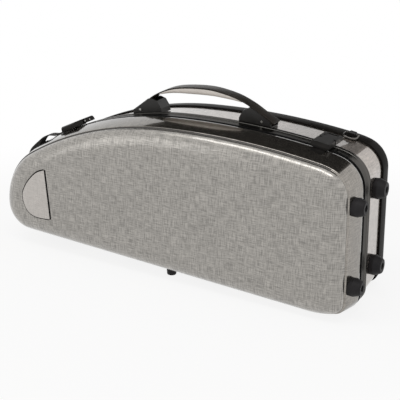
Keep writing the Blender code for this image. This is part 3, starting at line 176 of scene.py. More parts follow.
# Plush: the voxels that remake the CAD solid, how it is smoothed, and how far it draws in
PLUSH_VOXEL = 0.0032
PLUSH_SMOOTH = 10
PLUSH_SMOOTH_SHARE = 0.5
PLUSH_INSET = 0.0006

# The rings of a shell's wall: two plain ones and two rounded corners. In the front shell some
# of them, along the top, are painted near-black as the crease's shade
WALL_LEVELS = 2 + 2 * (ROUND_STEPS + 1)
CREASE_LEVELS = (5, 9)
CREASE_RUNS = ("top_turn", "crest", "shoulder", "nose_top")
FACE_SLOT, WALL_SLOT, CREASE_SLOT = 0, 1, 2

# The band's front is as black as the seal up to this depth, which its first rings cover
BAND_LIP_Y = 0.0080
BAND_LIP_LEVELS = 7

# Linen: cells to the metre along and across the threads, and each noise's share in the cloth
THREAD_CELLS = (62.0, 800.0)
SLUB_CELLS = (22.0, 420.0)
CLOUD_CELLS = (14.0, 14.0, 1.0)
THREAD_SHARE = 0.42
SLUB_SHARE = 0.05
CLOUD_SHARE = 0.06
CLOTH_RANGE = (0.40, 0.60)
CLOTH_ROUGH_SHARES = (1.1, 0.9)
CLOTH_METALLIC = 0.93
THREAD_RELIEF = 0.0001

# Camera, fitted to the photograph: degrees, then metres, then millimetres
CAMERA_AZIMUTH = 28.284
CAMERA_ELEVATION = 20.969
CAMERA_ROLL = 1.2567
CAMERA_DISTANCE = 1.4732
CAMERA_TARGET_X = 0.0039
CAMERA_TARGET_Z = 0.1282
CAMERA_LENS = 85.0
SENSOR_WIDTH = 36.0

# The room's light, and the floor's share of white, which grows over a fade in metres
ROOM_LIGHT = 0.6
ROOM_COLOUR = (1.0, 0.99, 0.975, 1.0)
FLOOR_GLOW = 0.86
FLOOR_FADE = (0.42, 0.75)
FLOOR_HALF = 12.0
FLOOR_DROP = 0.0004
FLOOR_COLOUR = (0.90, 0.90, 0.90)

# Dark panels over the set, for the gloss: two opposite corners in metres
PANEL_COLOUR = (0.012, 0.012, 0.012)
PANELS = {"near_panel": ((-1.15, 0.25, 1.05), (0.75, 1.75, 1.15)),
          "far_panel": ((-0.76, 1.75, 1.15), (0.40, 2.6, 1.15))}

# Lamps: place, target, width and height in metres, and watts
LAMPS = {"overhead_box": ((0.05, -0.6, 1.5), (0.05, 0.0, 0.15), (1.5, 0.35), 6.0),
         "front_left_box": ((-1.4, -1.9, 0.6), (0.0, 0.0, 0.12), (1.1, 1.1), 2.5)}


# The outline


def direction(heading):
    return Vector((math.cos(math.radians(heading)), math.sin(math.radians(heading))))


def outward(heading):
    return Vector((math.sin(math.radians(heading)), -math.cos(math.radians(heading))))


def arc_point(centre, radius, heading):
    return centre + radius * outward(heading)


def lay_arcs(arcs, start):
    """Arcs of (name, radius, first and last heading) laid end to end, and where they end."""
    runs = []
    point = start
    for name, radius, first, last in arcs:
        centre = point - radius * outward(first)
        runs.append({"name": name, "centre": centre, "radius": radius,
                     "first": first, "last": last})
        point = arc_point(centre, radius, last)
    return runs, point


def outline_runs():
    """All runs of the outline. The bottom edge and the wide end are straights that close it."""
    upper = [("top_corner", TOP_CORNER_R, 90.0 + END_LEAN, TURN_START),
             ("top_turn", TOP_TURN_R, TURN_START, CREST_START),
             ("crest", CREST_R, CREST_START, CREST_MID),
             ("shoulder", SHOULDER_R, CREST_MID, SHOULDER_END),
             ("nose_top", NOSE_TOP_R, SHOULDER_END, NOSE_LOW_START),
             ("nose_low", NOSE_LOW_R, NOSE_LOW_START, 360.0 - BOTTOM_SLOPE)]
    lower = [("heel", HEEL_R, -BOTTOM_SLOPE, HEEL_END),
             ("bottom_corner", BOTTOM_CORNER_R, HEEL_END, 90.0 + END_LEAN)]
    upper_runs, upper_end = lay_arcs(upper, Vector((0.0, 0.0)))
    _, lower_span = lay_arcs(lower, Vector((0.0, 0.0)))
    along_bottom = direction(-BOTTOM_SLOPE)
    along_side = direction(90.0 + END_LEAN)
    gap = -(upper_end + lower_span)
    crossed = along_bottom.x * along_side.y - along_bottom.y * along_side.x
    bottom_length = (gap.x * along_side.y - gap.y * along_side.x) / crossed
    side_length = (along_bottom.x * gap.y - along_bottom.y * gap.x) / crossed
    lower_runs, lower_end = lay_arcs(lower, upper_end + bottom_length * along_bottom)
    runs = upper_runs + [{"name": "bottom", "start": upper_end, "heading": -BOTTOM_SLOPE,
                          "length": bottom_length}]
    runs += lower_runs + [{"name": "side", "start": lower_end, "heading": 90.0 + END_LEAN,
                           "length": side_length}]
    lowest = arc_point(lower_runs[0]["centre"], HEEL_R, 0.0).y
    leftmost = upper_runs[-2]["centre"].x - NOSE_TOP_R
    lean = math.radians(END_LEAN)
    drop = FOOT_FROM_CORNER[0] - REAR_FOOT_R * FOOT_TIP_SHARE
    rightmost = lower_end.x + FOOT_REACH * math.cos(lean) - drop * math.sin(lean)
    shift = Vector((-(leftmost + rightmost) / 2, -lowest))
    for run in runs:
        key = "centre" if "centre" in run else "start"
        run[key] = run[key] + shift
    return {run["name"]: run for run in runs}


RUNS = outline_runs()

# Corners: the straight and the round run beside each, and whether that run comes after it
CORNERS = {"top_corner": ("side", "top_turn", True), "nose_low": ("bottom", "nose_top", False),
           "bottom_corner": ("side", "heel", False)}


def inset_corner(name, inset):
    """Centre, radius and arc heading of a corner on a ring moved in by an inset."""
    straight, arc, _ = CORNERS[name]
    line, round_run, corner = RUNS[straight], RUNS[arc], RUNS[name]
    radius = corner["radius"] - inset
    centre = corner["centre"]
    if radius < CORNER_FLOOR_R:
        radius = CORNER_FLOOR_R
        out = outward(line["heading"])
        reach = round_run["radius"] - inset - radius
        off = -(inset + radius) - (round_run["centre"] - line["start"]).dot(out)
        slide = math.sqrt(reach ** 2 - off ** 2)
        spots = [round_run["centre"] + out * off + direction(line["heading"]) * slide * sign
                 for sign in (-1, 1)]
        centre = min(spots, key=lambda spot: (spot - corner["centre"]).length)
    away = centre - round_run["centre"]
    heading = math.degrees(math.atan2(away.x, -away.y))
    if heading < 0.0 and name != "bottom_corner":
        heading += 360.0
    return centre, radius, heading


@functools.lru_cache(maxsize=None)
def runs_at(inset):
    """The outline's runs moved in by an inset: (centre, radius, first, last) or (start, end)."""
    moved = {}
    for name, run in RUNS.items():
        if "centre" in run:
            moved[name] = [run["centre"], run["radius"] - inset, run["first"], run["last"]]
    ends = {"side": [None, None], "bottom": [None, None]}
    for name, (straight, arc, arc_after) in CORNERS.items():
        centre, radius, heading = inset_corner(name, inset)
        moved[name][0], moved[name][1] = centre, radius
        touch = centre + radius * outward(RUNS[straight]["heading"])
        if arc_after:
            moved[name][3] = moved[arc][2] = heading
            ends[straight][1] = touch
        else:
            moved[name][2] = moved[arc][3] = heading
            ends[straight][0] = touch
    heel = moved["heel"]
    ends["bottom"][1] = arc_point(heel[0], heel[1], heel[2])
    moved.update(ends)
    return moved


STATIONS = [(name, step / RUN_STEPS[name]) for name in RUNS for step in range(RUN_STEPS[name])]


def ring_spot(station, inset):
    """The outline's point at a station, moved in by an inset."""
    name, share = STATIONS[station]
    run = runs_at(inset)[name]
    if len(run) == 2:
        return run[0].lerp(run[1], share)
    centre, radius, first, last = run
    return arc_point(centre, radius, first + (last - first) * share)


WIDE_X = RUNS["bottom_corner"]["centre"].x + BOTTOM_CORNER_R
NOSE_X = RUNS["nose_top"]["centre"].x - NOSE_TOP_R
DATUM_X = WIDE_X - DATUM_FROM_END
FRONT_DEPTH = FRONT_WALL_DEPTH + CREASE_STEP + FRONT_FILLET_RISE
BACK_DEPTH = REAR_WALL_DEPTH + BUMPER_RUN + REAR_FILLET_RISE
BUMPER_DEPTH = BACK_DEPTH + GAP + BUMPER_WALL
BACK_INSET = RIM_BAND_WALL + GAP + REAR_DRAFT + BUMPER_LEAN + REAR_FILLET_IN
BACK_TAPER = WALL_TAPER + BUMPER_RUN_TAPER + REAR_FILLET_TAPER
BACK_LOSS = BACK_TAPER * BACK_INSET / (WIDE_X - NOSE_X)
SEAM_Y = (FRONT_DEPTH + GAP + BADGE_THICK - BUMPER_DEPTH + BACK_LOSS) / 2


# Paths, rings and meshes


def nose_share(x):
    """How far a place lies from the wide end to the nose, from 0 to 1."""
    return (WIDE_X - x) / (WIDE_X - NOSE_X)


def clamped(share):
    return max(0.0, min(1.0, share))


def front_inset(depth):
    return FRONT_DRAFT * clamped((depth - FRONT_RIM_RUN) / (FRONT_WALL_DEPTH - FRONT_RIM_RUN))


def rear_inset(depth):
    share = clamped((depth - SEAL_DEPTH) / (REAR_WALL_DEPTH - SEAL_DEPTH))
    return RIM_BAND_WALL + GAP + REAR_DRAFT * share


def rounded(points, radius, cyclic=False):
    """Round a path's corners, with one radius or a list of one for each 2-D point."""
    radii = radius if isinstance(radius, (list, tuple)) else [radius] * len(points)
    count = len(points)
    path = []
    for index, point in enumerate(points):
        ends_here = not cyclic and index in (0, count - 1)
        if ends_here or not radii[index]:
            path.append(point)
            continue
        before = points[index - 1] - point
        after = points[(index + 1) % count] - point
        reach = min(radii[index], before.length * ROUND_REACH_SHARE,
                    after.length * ROUND_REACH_SHARE)
        first = point + before.normalized() * reach
        last = point + after.normalized() * reach
        for step in range(ROUND_STEPS + 1):
            t = step / ROUND_STEPS
            path.append(first * (1 - t) ** 2 + point * 2 * t * (1 - t) + last * t ** 2)
    return path


def rounded_box(across, up, radius):
    """A section from its two spans, with rounded corners."""
    (left, right), (low, high) = across, up
    return rounded([Vector((left, low)), Vector((right, low)), Vector((right, high)),
                    Vector((left, high))], radius, True)


def fillet(inset, depth, across, rise, taper, taper_rise):
    """A quarter ellipse from a wall onto a face, as (inset, depth, loss of depth at the nose)."""
    angles = (math.pi / 2 * step / FILLET_STEPS for step in range(1, FILLET_STEPS + 1))
    return [(inset + across * (1 - math.cos(angle)), depth + rise * math.sin(angle),
             taper + taper_rise * math.sin(angle)) for angle in angles]


def front_path():
    """The front shell's section from its rim to its face: (inset, depth, loss at the nose)."""
    crease = FRONT_WALL_DEPTH + CREASE_STEP
    start = FRONT_DRAFT + CREASE_STEP * 2
    path = [(0.0, GAP / 2, 0.0), (0.0, FRONT_RIM_RUN, 0.0), (FRONT_DRAFT, FRONT_WALL_DEPTH, 0.0),
            (start, crease, 0.0)]
    path += fillet(start, crease, FRONT_FILLET_IN, FRONT_FILLET_RISE, 0.0, 0.0)
    return path + [(path[-1][0] + CREASE_STEP, path[-1][1], 0.0)]


def rear_path():
    """The rear shell's section, in the same way."""
    start = SEAL_DEPTH + GAP * 3 / 2
    edge = rear_inset(REAR_WALL_DEPTH)
    run = REAR_WALL_DEPTH + BUMPER_RUN
    taper = WALL_TAPER + BUMPER_RUN_TAPER
    path = [(rear_inset(start), start, 0.0),
            (rear_inset(RIM_BAND_DEPTH), RIM_BAND_DEPTH, 0.0),
            (edge, REAR_WALL_DEPTH, WALL_TAPER),
            (edge + BUMPER_LEAN, run, taper)]
    return path + fillet(edge + BUMPER_LEAN, run, REAR_FILLET_IN, REAR_FILLET_RISE, taper,
                         REAR_FILLET_TAPER)


def path_stations(path):
    """The path as it stands at every point of the outline: lists of (inset, depth)."""
    return [[Vector((inset, depth - taper * nose_share(ring_spot(index, inset).x)))
             for inset, depth, taper in path] for index in range(len(STATIONS))]


def offset_path(points, distance):
    """Move a path out from the case by a distance, keeping its corners square."""
    normals = []
    for first, second in zip(points, points[1:]):
        along = (second - first).normalized()
        normals.append(Vector((-along.y, along.x)))
    moved = []
    for index, point in enumerate(points):
        before = normals[max(index - 1, 0)]
        after = normals[min(index, len(normals) - 1)]
        middle = (before + after).normalized()
        moved.append(point + middle * distance / middle.dot(after))
    return moved


def ring_points(stations, side):
    """Rings of world points, one for each (inset, depth) point that all stations have."""
    rings = []
    for level in zip(*stations):
        spots = [ring_spot(number, point.x) for number, point in enumerate(level)]
        rings.append([Vector((spot.x, SEAM_Y + side * point.y, spot.y))
                      for spot, point in zip(spots, level)])
    return rings


def outline_lengths():
    """Distance along the outline at each station, and all the way round."""
    spots = [ring_spot(number, 0.0) for number in range(len(STATIONS))]
    lengths = [0.0]
    for first, second in zip(spots, spots[1:] + spots[:1]):
        lengths.append(lengths[-1] + (second - first).length)
    return lengths


def linked_object(name, data):
    obj = bpy.data.objects.new(name, data)
    bpy.context.scene.collection.objects.link(obj)
    return obj


def new_object(name, mesh, look):
    mesh.materials.append(look)
    mesh.shade_smooth()
    mesh.set_sharp_from_angle(angle=math.radians(SHARP_ANGLE))
    return linked_object(name, mesh)


def taken_mesh(name, shape):
    mesh = bpy.data.meshes.new(name)
    shape.to_mesh(mesh)
    shape.free()
    return mesh


def ring_object(name, rings, look, cyclic=False):
    """Rings joined one to the next, and the last to the first if cyclic, or else two caps."""
    shape = bmesh.new()
    verts = [[shape.verts.new(point) for point in ring] for ring in rings]
    pairs = list(zip(verts, verts[1:]))
    if cyclic:
        pairs.append((verts[-1], verts[0]))
    count = len(rings[0])
    for lower, upper in pairs:
        for index in range(count):
            after = (index + 1) % count
            shape.faces.new((lower[index], lower[after], upper[after], upper[index]))
    if not cyclic:
        shape.faces.new(list(reversed(verts[0])))
        shape.faces.new(verts[-1])
    shape.normal_update()
    bmesh.ops.recalc_face_normals(shape, faces=shape.faces)
    return new_object(name, taken_mesh(name, shape), look)


def shell_mesh(name, rings, side):
    """A shell with weave places: along the outline on its walls, flat over its face."""
    shape = bmesh.new()
    places = shape.loops.layers.uv.new("weave")
    lengths = outline_lengths()
    verts = [[shape.verts.new(point) for point in ring] for ring in rings]
    count = len(rings[0])
    for level in range(len(rings) - 1):
        on_wall = level < WALL_LEVELS
        in_crease = side < 0 and CREASE_LEVELS[0] <= level < CREASE_LEVELS[1]
        for index in range(count):
            after = (index + 1) % count
            corners = ((level, index, lengths[index]), (level, after, lengths[index + 1]),
                       (level + 1, after, lengths[index + 1]), (level + 1, index, lengths[index]))
            face = shape.faces.new([verts[row][column] for row, column, _ in corners])
            # Wall faces take the wall's copy of the linen: painted shade on the front shell,
            # painted light on the rear
            face.material_index = WALL_SLOT if on_wall else FACE_SLOT
            # Faces along the top of the crease take the painted shade
            if in_crease and STATIONS[index][0] in CREASE_RUNS:
                face.material_index = CREASE_SLOT
            for loop, (row, column, length) in zip(face.loops, corners):
                spot = rings[row][column]
                loop[places].uv = (length, spot.y) if on_wall else (spot.x, spot.z)
    cap = shape.faces.new(verts[-1])
    for loop in cap.loops:
        loop[places].uv = (loop.vert.co.x, loop.vert.co.z)
    shape.normal_update()
    if cap.normal.y * side < 0:
        bmesh.ops.reverse_faces(shape, faces=shape.faces)
    return taken_mesh(name, shape)


class Seat:
    """A spot on the outline: s runs along the surface, y is depth, h stands out from it."""

    def __init__(self, foot, heading):
        along = direction(heading + 180.0)
        out = outward(heading)
        self.matrix = Matrix(((along.x, 0.0, out.x, foot.x), (0.0, 1.0, 0.0, SEAM_Y),
                              (along.y, 0.0, out.y, foot.y), (0.0, 0.0, 0.0, 1.0)))

    def point(self, s, y, h):
        return self.matrix @ Vector((s, y, h))


def top_seat(x):
    """The seat on the top edge at a distance from the datum."""
    world = DATUM_X + x
    run = RUNS["crest"]
    if world < arc_point(run["centre"], run["radius"], run["last"]).x:
        run = RUNS["shoulder"]
    heading = 180.0 - math.degrees(math.asin((world - run["centre"].x) / run["radius"]))
    return Seat(arc_point(run["centre"], run["radius"], heading), heading)


def straight_seat(name, distance):
    """The seat on a straight at a distance from its start."""
    run = RUNS[name]
    return Seat(run["start"] + direction(run["heading"]) * distance, run["heading"])


# Materials


def grey(level):
    return (level, level, level, 1.0)


def even(cells):
    return (cells, cells, cells)


class Look:
    """A procedural material being put together round its Principled shader."""

    def __init__(self, name, colour, roughness, metallic=0.0, **more):
        self.material = bpy.data.materials.new(name)
        self.material.use_nodes = True
        self.nodes = self.material.node_tree.nodes
        self.links = self.material.node_tree.links
        self.shader = self.nodes["Principled BSDF"]
        more.update(Base_Color=(*colour, 1.0), Roughness=roughness, Metallic=metallic)
        for socket, value in more.items():
            self.shader.inputs[socket.replace("_", " ")].default_value = value
        self.colour = colour

    def place(self, cells, weave):
        """Coordinates of the weave layer or the object's own, as cells to the metre."""
        if weave:
            source = self.nodes.new("ShaderNodeUVMap")
            source.uv_map = "weave"
            output = source.outputs["UV"]
        else:
            source = self.nodes.new("ShaderNodeTexCoord")
            output = source.outputs["Object"]
        mapping = self.nodes.new("ShaderNodeMapping")
        mapping.inputs["Scale"].default_value = cells
        self.links.new(output, mapping.inputs["Vector"])
        return mapping.outputs["Vector"]

    def noise(self, cells, detail, grit=0.5, weave=False):
        node = self.nodes.new("ShaderNodeTexNoise")
        node.inputs["Scale"].default_value = 1.0
        node.inputs["Detail"].default_value = detail
        node.inputs["Roughness"].default_value = grit
        self.links.new(self.place(cells, weave), node.inputs["Vector"])
        return node.outputs["Fac"]

    def combine(self, operation, first, second):
        node = self.nodes.new("ShaderNodeMath")
        node.operation = operation
        for socket, value in zip(node.inputs, (first, second)):
            if isinstance(value, (int, float)):
                socket.default_value = value
            else:
                self.links.new(value, socket)
        return node.outputs["Value"]

    def crossed(self, first, second, detail, grit=0.5, weave=False):
        """The sum of two noises that run across each other, as the threads of a cloth do."""
        return self.combine("ADD", self.noise(first, detail, grit, weave),
                            self.noise(second, detail, grit, weave))

    def threads(self, cells, detail, share):
        """A share of the threads both ways in the weave layer."""
        along, across = cells
        both = self.crossed((along, across, 1.0), (across, along, 1.0), detail, weave=True)
        return self.combine("MULTIPLY", both, share)

    def spread(self, value, *ends, curve="LINEAR"):
        """A value carried from one range to another, as (low, high, to low, to high)."""
        node = self.nodes.new("ShaderNodeMapRange")
        node.interpolation_type = curve
        for name, number in zip(("From Min", "From Max", "To Min", "To Max"), ends):
            node.inputs[name].default_value = number
        self.links.new(value, node.inputs["Value"])
        return node.outputs["Result"]

    def tint(self, value, low, high, dark, light):
        """Colour the shader from a value: shares of its colour from dark to light."""
        ramp = self.nodes.new("ShaderNodeValToRGB")
        ramp.color_ramp.elements[0].position = low
        ramp.color_ramp.elements[1].position = high
        for element, share in zip(ramp.color_ramp.elements, (dark, light)):
            element.color = (*[channel * share for channel in self.colour], 1.0)
        self.links.new(value, ramp.inputs["Fac"])
        self.links.new(ramp.outputs["Color"], self.shader.inputs["Base Color"])

    def rough(self, value, *ends):
        self.links.new(self.spread(value, *ends), self.shader.inputs["Roughness"])

    def bump(self, height, strength, distance):
        node = self.nodes.new("ShaderNodeBump")
        node.inputs["Strength"].default_value = strength
        node.inputs["Distance"].default_value = distance
        self.links.new(height, node.inputs["Height"])
        self.links.new(node.outputs["Normal"], self.shader.inputs["Normal"])


def linen_look(name, colour, roughness, contrast, bump, edge_share):
    """Woven cloth moulded in under a clear coat: threads both ways, slubs and soft clouds."""
    look = Look(name, colour, roughness, CLOTH_METALLIC, Coat_Weight=1.0, Coat_Roughness=0.03,
                Specular_Tint=grey(edge_share))
    cloth = look.combine("ADD", look.threads(THREAD_CELLS, 1.0, THREAD_SHARE),
                         look.threads(SLUB_CELLS, 2.0, SLUB_SHARE))
    clouds = look.combine("MULTIPLY", look.noise(CLOUD_CELLS, 3.0, weave=True), CLOUD_SHARE)
    mixed = look.combine("ADD", cloth, clouds)
    look.tint(mixed, *CLOTH_RANGE, 1.0 - contrast, 1.0 + contrast)
    look.rough(mixed, *CLOTH_RANGE, *(roughness * share for share in CLOTH_ROUGH_SHARES))
    look.bump(cloth, bump, THREAD_RELIEF)
    return look.material


def plain_look(name, colour, roughness, metallic, grain, tone, gloss, relief, crossing=None,
               wear=None, gloss_follows="wear", **more):
    """A finish of fine grain, with broad wear that changes its tone and gloss.

    grain and wear are (cells, detail, grit), and crossing the cells of a cloth's other threads.
    tone and gloss hold the noise's low and high, then the share of the colour or the roughness
    at each. relief is the bump's strength and depth.
    """
    look = Look(name, colour, roughness, metallic, **more)
    if crossing:
        cells, *kind = grain
        fine = look.combine("MULTIPLY", look.crossed(cells, crossing, *kind), 0.5)
    else:
        fine = look.noise(*grain)
    broad = look.noise(*wear) if wear else fine
    look.tint(broad, *tone)
    look.rough(broad if gloss_follows == "wear" else fine, *gloss)
    look.bump(fine, *relief)
    return look.material


def rubber_look(name, colour, roughness, shine):
    return plain_look(name, colour, roughness, 0.0, grain=(even(1500.0), 3.0),
                      wear=(even(60.0), 4.0, 0.6), tone=(0.35, 0.75, 0.85, 1.5),
                      gloss=(0.3, 0.8, roughness - 0.07, roughness + 0.1),
                      relief=(0.12, 0.0001), Specular_IOR_Level=shine)


def black_metal_look(name, shine):
    return plain_look(name, (0.015, 0.014, 0.013), 0.3, 0.3, grain=(even(900.0), 3.0),
                      wear=(even(70.0), 4.0, 0.65), tone=(0.3, 0.8, 0.85, 1.7),
                      gloss=(0.3, 0.8, 0.27, 0.42), relief=(0.08, 0.0001),
                      Specular_IOR_Level=shine)


def steel_look(name, colour):
    return plain_look(name, colour, 0.2, 1.0, grain=((160.0, 1600.0, 160.0), 2.0),
                      tone=(0.3, 0.7, 0.9, 1.06), gloss=(0.3, 0.7, 0.14, 0.28),
                      relief=(0.05, 0.0001))


LINEN = linen_look("coated_linen", (0.315, 0.299, 0.275), roughness=0.3, contrast=0.33,
                   bump=0.12, edge_share=1.0)
# Darker copy of the linen for the front shell's wall: painted shade that stands in for the dark
# reflections on that wall. Its lower roughness is the wall's smoother finish
FRONT_WALL = linen_look("front_wall_linen_painted_shade", (0.270, 0.249, 0.222), roughness=0.17, contrast=0.3,
                        bump=0.02, edge_share=0.45)
# Lighter copy of the linen for the rear shell's wall: painted light that stands in for the bright
# reflection on that wall
REAR_WALL = linen_look("rear_wall_linen_painted_light", (0.40, 0.352, 0.312), roughness=0.24, contrast=0.3,
                       bump=0.02, edge_share=0.8)
# Painted shade: a near-black copy of the linen for the faces along the crease, in place of its
# shadow
CREASE = linen_look("crease_painted_shade", (0.030, 0.027, 0.024), roughness=0.4, contrast=0.16,
                    bump=0.02, edge_share=0.1)
BAND = plain_look("dark_profile", (0.125, 0.120, 0.112), 0.26, 1.0,
                  grain=((14.0, 900.0, 14.0), 2.0), tone=(0.3, 0.7, 0.82, 1.12),
                  gloss=(0.3, 0.7, 0.18, 0.28), relief=(0.06, 0.0001),
                  Specular_Tint=grey(0.45))
EDGE = plain_look("gloss_black_edge", (0.012, 0.011, 0.010), 0.2, 0.0,
                  grain=(even(700.0), 2.0), wear=(even(22.0), 4.0, 0.6),
                  tone=(0.3, 0.75, 0.8, 1.5), gloss=(0.3, 0.75, 0.16, 0.26),
                  relief=(0.05, 0.0001), Specular_IOR_Level=0.01)
FOOT = rubber_look("foot_rubber", (0.014, 0.013, 0.014), 0.55, 0.2)
SEAL = rubber_look("seal_rubber", (0.008, 0.008, 0.008), 0.6, 0.01)
METAL = black_metal_look("black_metal", 0.08)
BRACKET = black_metal_look("bracket_metal", 0.5)
STRAP = plain_look("strap_cover", (0.016, 0.013, 0.010), 0.34, 0.0,
                   grain=(even(520.0), 4.0, 0.6), wear=(even(35.0), 3.0),
                   tone=(0.3, 0.7, 0.8, 1.6), gloss=(0.3, 0.7, 0.28, 0.42),
                   relief=(0.15, 0.0002), gloss_follows="grain", Specular_IOR_Level=0.2)
GRIP = plain_look("grip_pad", (0.88, 0.82, 0.76), 0.42, 0.0, grain=(even(900.0), 4.0, 0.6),
                  wear=(even(45.0), 3.0), tone=(0.3, 0.7, 0.93, 1.05),
                  gloss=(0.3, 0.7, 0.36, 0.5), relief=(0.1, 0.0001), gloss_follows="grain",
                  Coat_Weight=0.25, Coat_Roughness=0.25)
WEBBING = plain_look("webbing", (0.014, 0.013, 0.012), 0.75, 0.0,
                     grain=((140.0, 1500.0, 140.0), 1.0), crossing=(1500.0, 260.0, 1500.0),
                     tone=(0.38, 0.62, 0.6, 2.2), gloss=(0.38, 0.62, 0.85, 0.65),
                     relief=(0.5, 0.0004), Specular_IOR_Level=0.25, Sheen_Weight=0.1,
                     Sheen_Roughness=0.5)
STEEL = steel_look("bright_steel", (0.50, 0.49, 0.47))
DARK_STEEL = steel_look("dark_steel", (0.16, 0.15, 0.14))
PLATE = plain_look("bare_plate", (0.50, 0.47, 0.44), 0.3, 0.85,
                   grain=((60.0, 60.0, 1100.0), 3.0, 0.6), crossing=(1100.0, 60.0, 60.0),
                   tone=(0.36, 0.64, 0.84, 1.12), gloss=(0.36, 0.64, 0.36, 0.26),
                   relief=(0.12, 0.0002), Coat_Weight=0.8, Coat_Roughness=0.08)
PLUSH = plain_look("black_plush", (0.022, 0.021, 0.024), 0.95, 0.0,
                   grain=(even(1300.0), 3.0, 0.7), wear=(even(38.0), 4.0, 0.6),
                   tone=(0.3, 0.72, 0.7, 1.9), gloss=(0.3, 0.7, 1.0, 0.85),
                   relief=(0.6, 0.0006), gloss_follows="grain", Sheen_Weight=0.6,
                   Sheen_Roughness=0.35)

# Nodes that keep their CAD shape: finish, edge round and how their names start
FINISHES = ((STEEL, STEEL_ROUND, ("latch_pivot", "latch_claw_pin", "handle_pin", "hinge_pin",
                                  "foot_screw", "loop_rivet")),
            (DARK_STEEL, 0.0, ("carry_ring",)),
            (PLATE, METAL_ROUND, ("badge_plate",)),
            (BRACKET, METAL_ROUND, ("handle_bracket",)),
            (METAL, METAL_ROUND, ("latch_", "hinge_leaf", "ring_clip")))


# Shells, bands and padding


def add_shell(name, node, path, side, wall_look, body):
    """A moulded shell: its outside as rings, then a wall thickness inwards."""
    stations = [rounded(station, [0, 0, CREASE_ROUND, CREASE_ROUND] + [0] * (len(station) - 4))
                for station in path_stations(path)]
    rings = ring_points(stations, side)
    obj = new_object(name, shell_mesh(name, rings, side), LINEN)
    # The wall's copy of the linen: painted shade on the front shell, painted light on the rear
    obj.data.materials.append(wall_look)
    # The crease's painted shade
    obj.data.materials.append(CREASE)
    wall = obj.modifiers.new("wall", "SOLIDIFY")
    wall.thickness = SHELL_WALL
    wall.use_even_offset = True
    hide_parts(node)
    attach(obj, body)


def add_band(name, node, stations, look):
    """A closed profile all round the outline."""
    obj = ring_object(name, ring_points(stations, 1), look, cyclic=True)
    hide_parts(node)
    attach(obj, "rear_half")
    return obj


def add_seal():
    section = rounded_box((SEAL_INSET, SEAL_INSET + SEAL_WIDTH), (GAP / 2, GAP / 2 + SEAL_DEPTH),
                          SEAL_ROUND)
    add_band("seal_lip", "rim_seal", [section] * len(STATIONS), SEAL)


def add_rim_profile():
    """The dark profile with its groove. The lip at its front is black like the seal."""
    start = SEAL_DEPTH + GAP * 3 / 2
    low, high = RIM_GROOVE_Y
    profile = [Vector((0.0, start)), Vector((0.0, BAND_LIP_Y)), Vector((0.0, low)),
               Vector((RIM_GROOVE, low + RIM_GROOVE)), Vector((RIM_GROOVE, high - RIM_GROOVE)),
               Vector((0.0, high)), Vector((0.0, RIM_BAND_DEPTH - RIM_GROOVE)),
               Vector((RIM_GROOVE, RIM_BAND_DEPTH)),
               Vector((rear_inset(RIM_BAND_DEPTH) - GAP, RIM_BAND_DEPTH)),
               Vector((rear_inset(start) - GAP, start))]
    band = add_band("rim_profile", "rim_band",
                    [rounded(profile, BAND_ROUND, True)] * len(STATIONS), BAND)
    band.data.materials.append(SEAL)
    for face in band.data.polygons:
        face.material_index = int(face.index < BAND_LIP_LEVELS * len(STATIONS))


def add_bumper():
    path = rear_path()
    edge = (path[-1][0] + BUMPER_LAND, path[-1][1], path[-1][2])
    stations = []
    for station in path_stations(path[2:] + [edge]):
        inner = offset_path(station, GAP)
        outer = list(reversed(offset_path(station, GAP + BUMPER_WALL)))
        radii = [0.0] * len(inner) + [LIP_ROUND] + [0.0] * (len(outer) - 2) + [LIP_ROUND]
        stations.append(rounded(inner + outer, radii, True))
    add_band("bumper_edge", "rear_bumper", stations, EDGE)


def add_plush(name, node, body):
    """Plush over foam: the CAD solid with its wells, remeshed, softened and drawn in a little."""
    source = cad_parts[node]
    mesh = source.data.copy()
    mesh.transform(source.matrix_world)
    mesh.materials.clear()
    obj = new_object(name, mesh, PLUSH)
    remesh = obj.modifiers.new("remesh", "REMESH")
    remesh.mode = "VOXEL"
    remesh.voxel_size = PLUSH_VOXEL
    soften = obj.modifiers.new("soften", "SMOOTH")
    soften.factor = PLUSH_SMOOTH_SHARE
    soften.iterations = PLUSH_SMOOTH
    shrink = obj.modifiers.new("draw_in", "DISPLACE")
    shrink.strength = -PLUSH_INSET
    shrink.mid_level = 0.0
    bpy.context.view_layer.update()
    shaped = bpy.data.meshes.new_from_object(obj.evaluated_get(
        bpy.context.evaluated_depsgraph_get()))
    obj.modifiers.clear()
    obj.data = shaped
    shaped.shade_smooth()
    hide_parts(node)
    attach(obj, body)


# Feet and studs


def turned_rings(profile, spot):
    """Rings round an axis from a profile of (radius, height), and a function for the points."""
    angles = [math.tau * step / FOOT_STEPS for step in range(FOOT_STEPS)]
    return [[spot(radius * math.cos(angle), radius * math.sin(angle), height)
             for angle in angles] for radius, height in profile]


def add_foot(node, seat, y, radius, inset_at, body):
    """A rubber foot whose base follows the wall, with a screw recess in its tip."""
    tip = radius * FOOT_TIP_SHARE
    recess_at = 1 - FOOT_RECESS_DEPTH / FOOT_REACH
    profile = rounded([Vector((FOOT_BORE_R, 0.0)), Vector((radius, 0.0)),
                       Vector((radius * FOOT_BULGE_SHARE, FOOT_BULGE_AT_SHARE)),
                       Vector((tip + FOOT_EDGE, 1 - FOOT_EDGE / FOOT_REACH)), Vector((tip, 1.0)),
                       Vector((FOOT_RECESS_R, 1.0)), Vector((FOOT_RECESS_R, recess_at)),
                       Vector((FOOT_BORE_R, recess_at))], FOOT_ROUNDS, True)

    def spot(along, deep, rise):
        wall = GAP - inset_at(abs(y + deep))
        return seat.point(along, y + deep, wall + (FOOT_REACH - wall) * rise)

    obj = ring_object(node + "_skin", turned_rings(profile, spot), FOOT, cyclic=True)
    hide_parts(node)
    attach(obj, body)


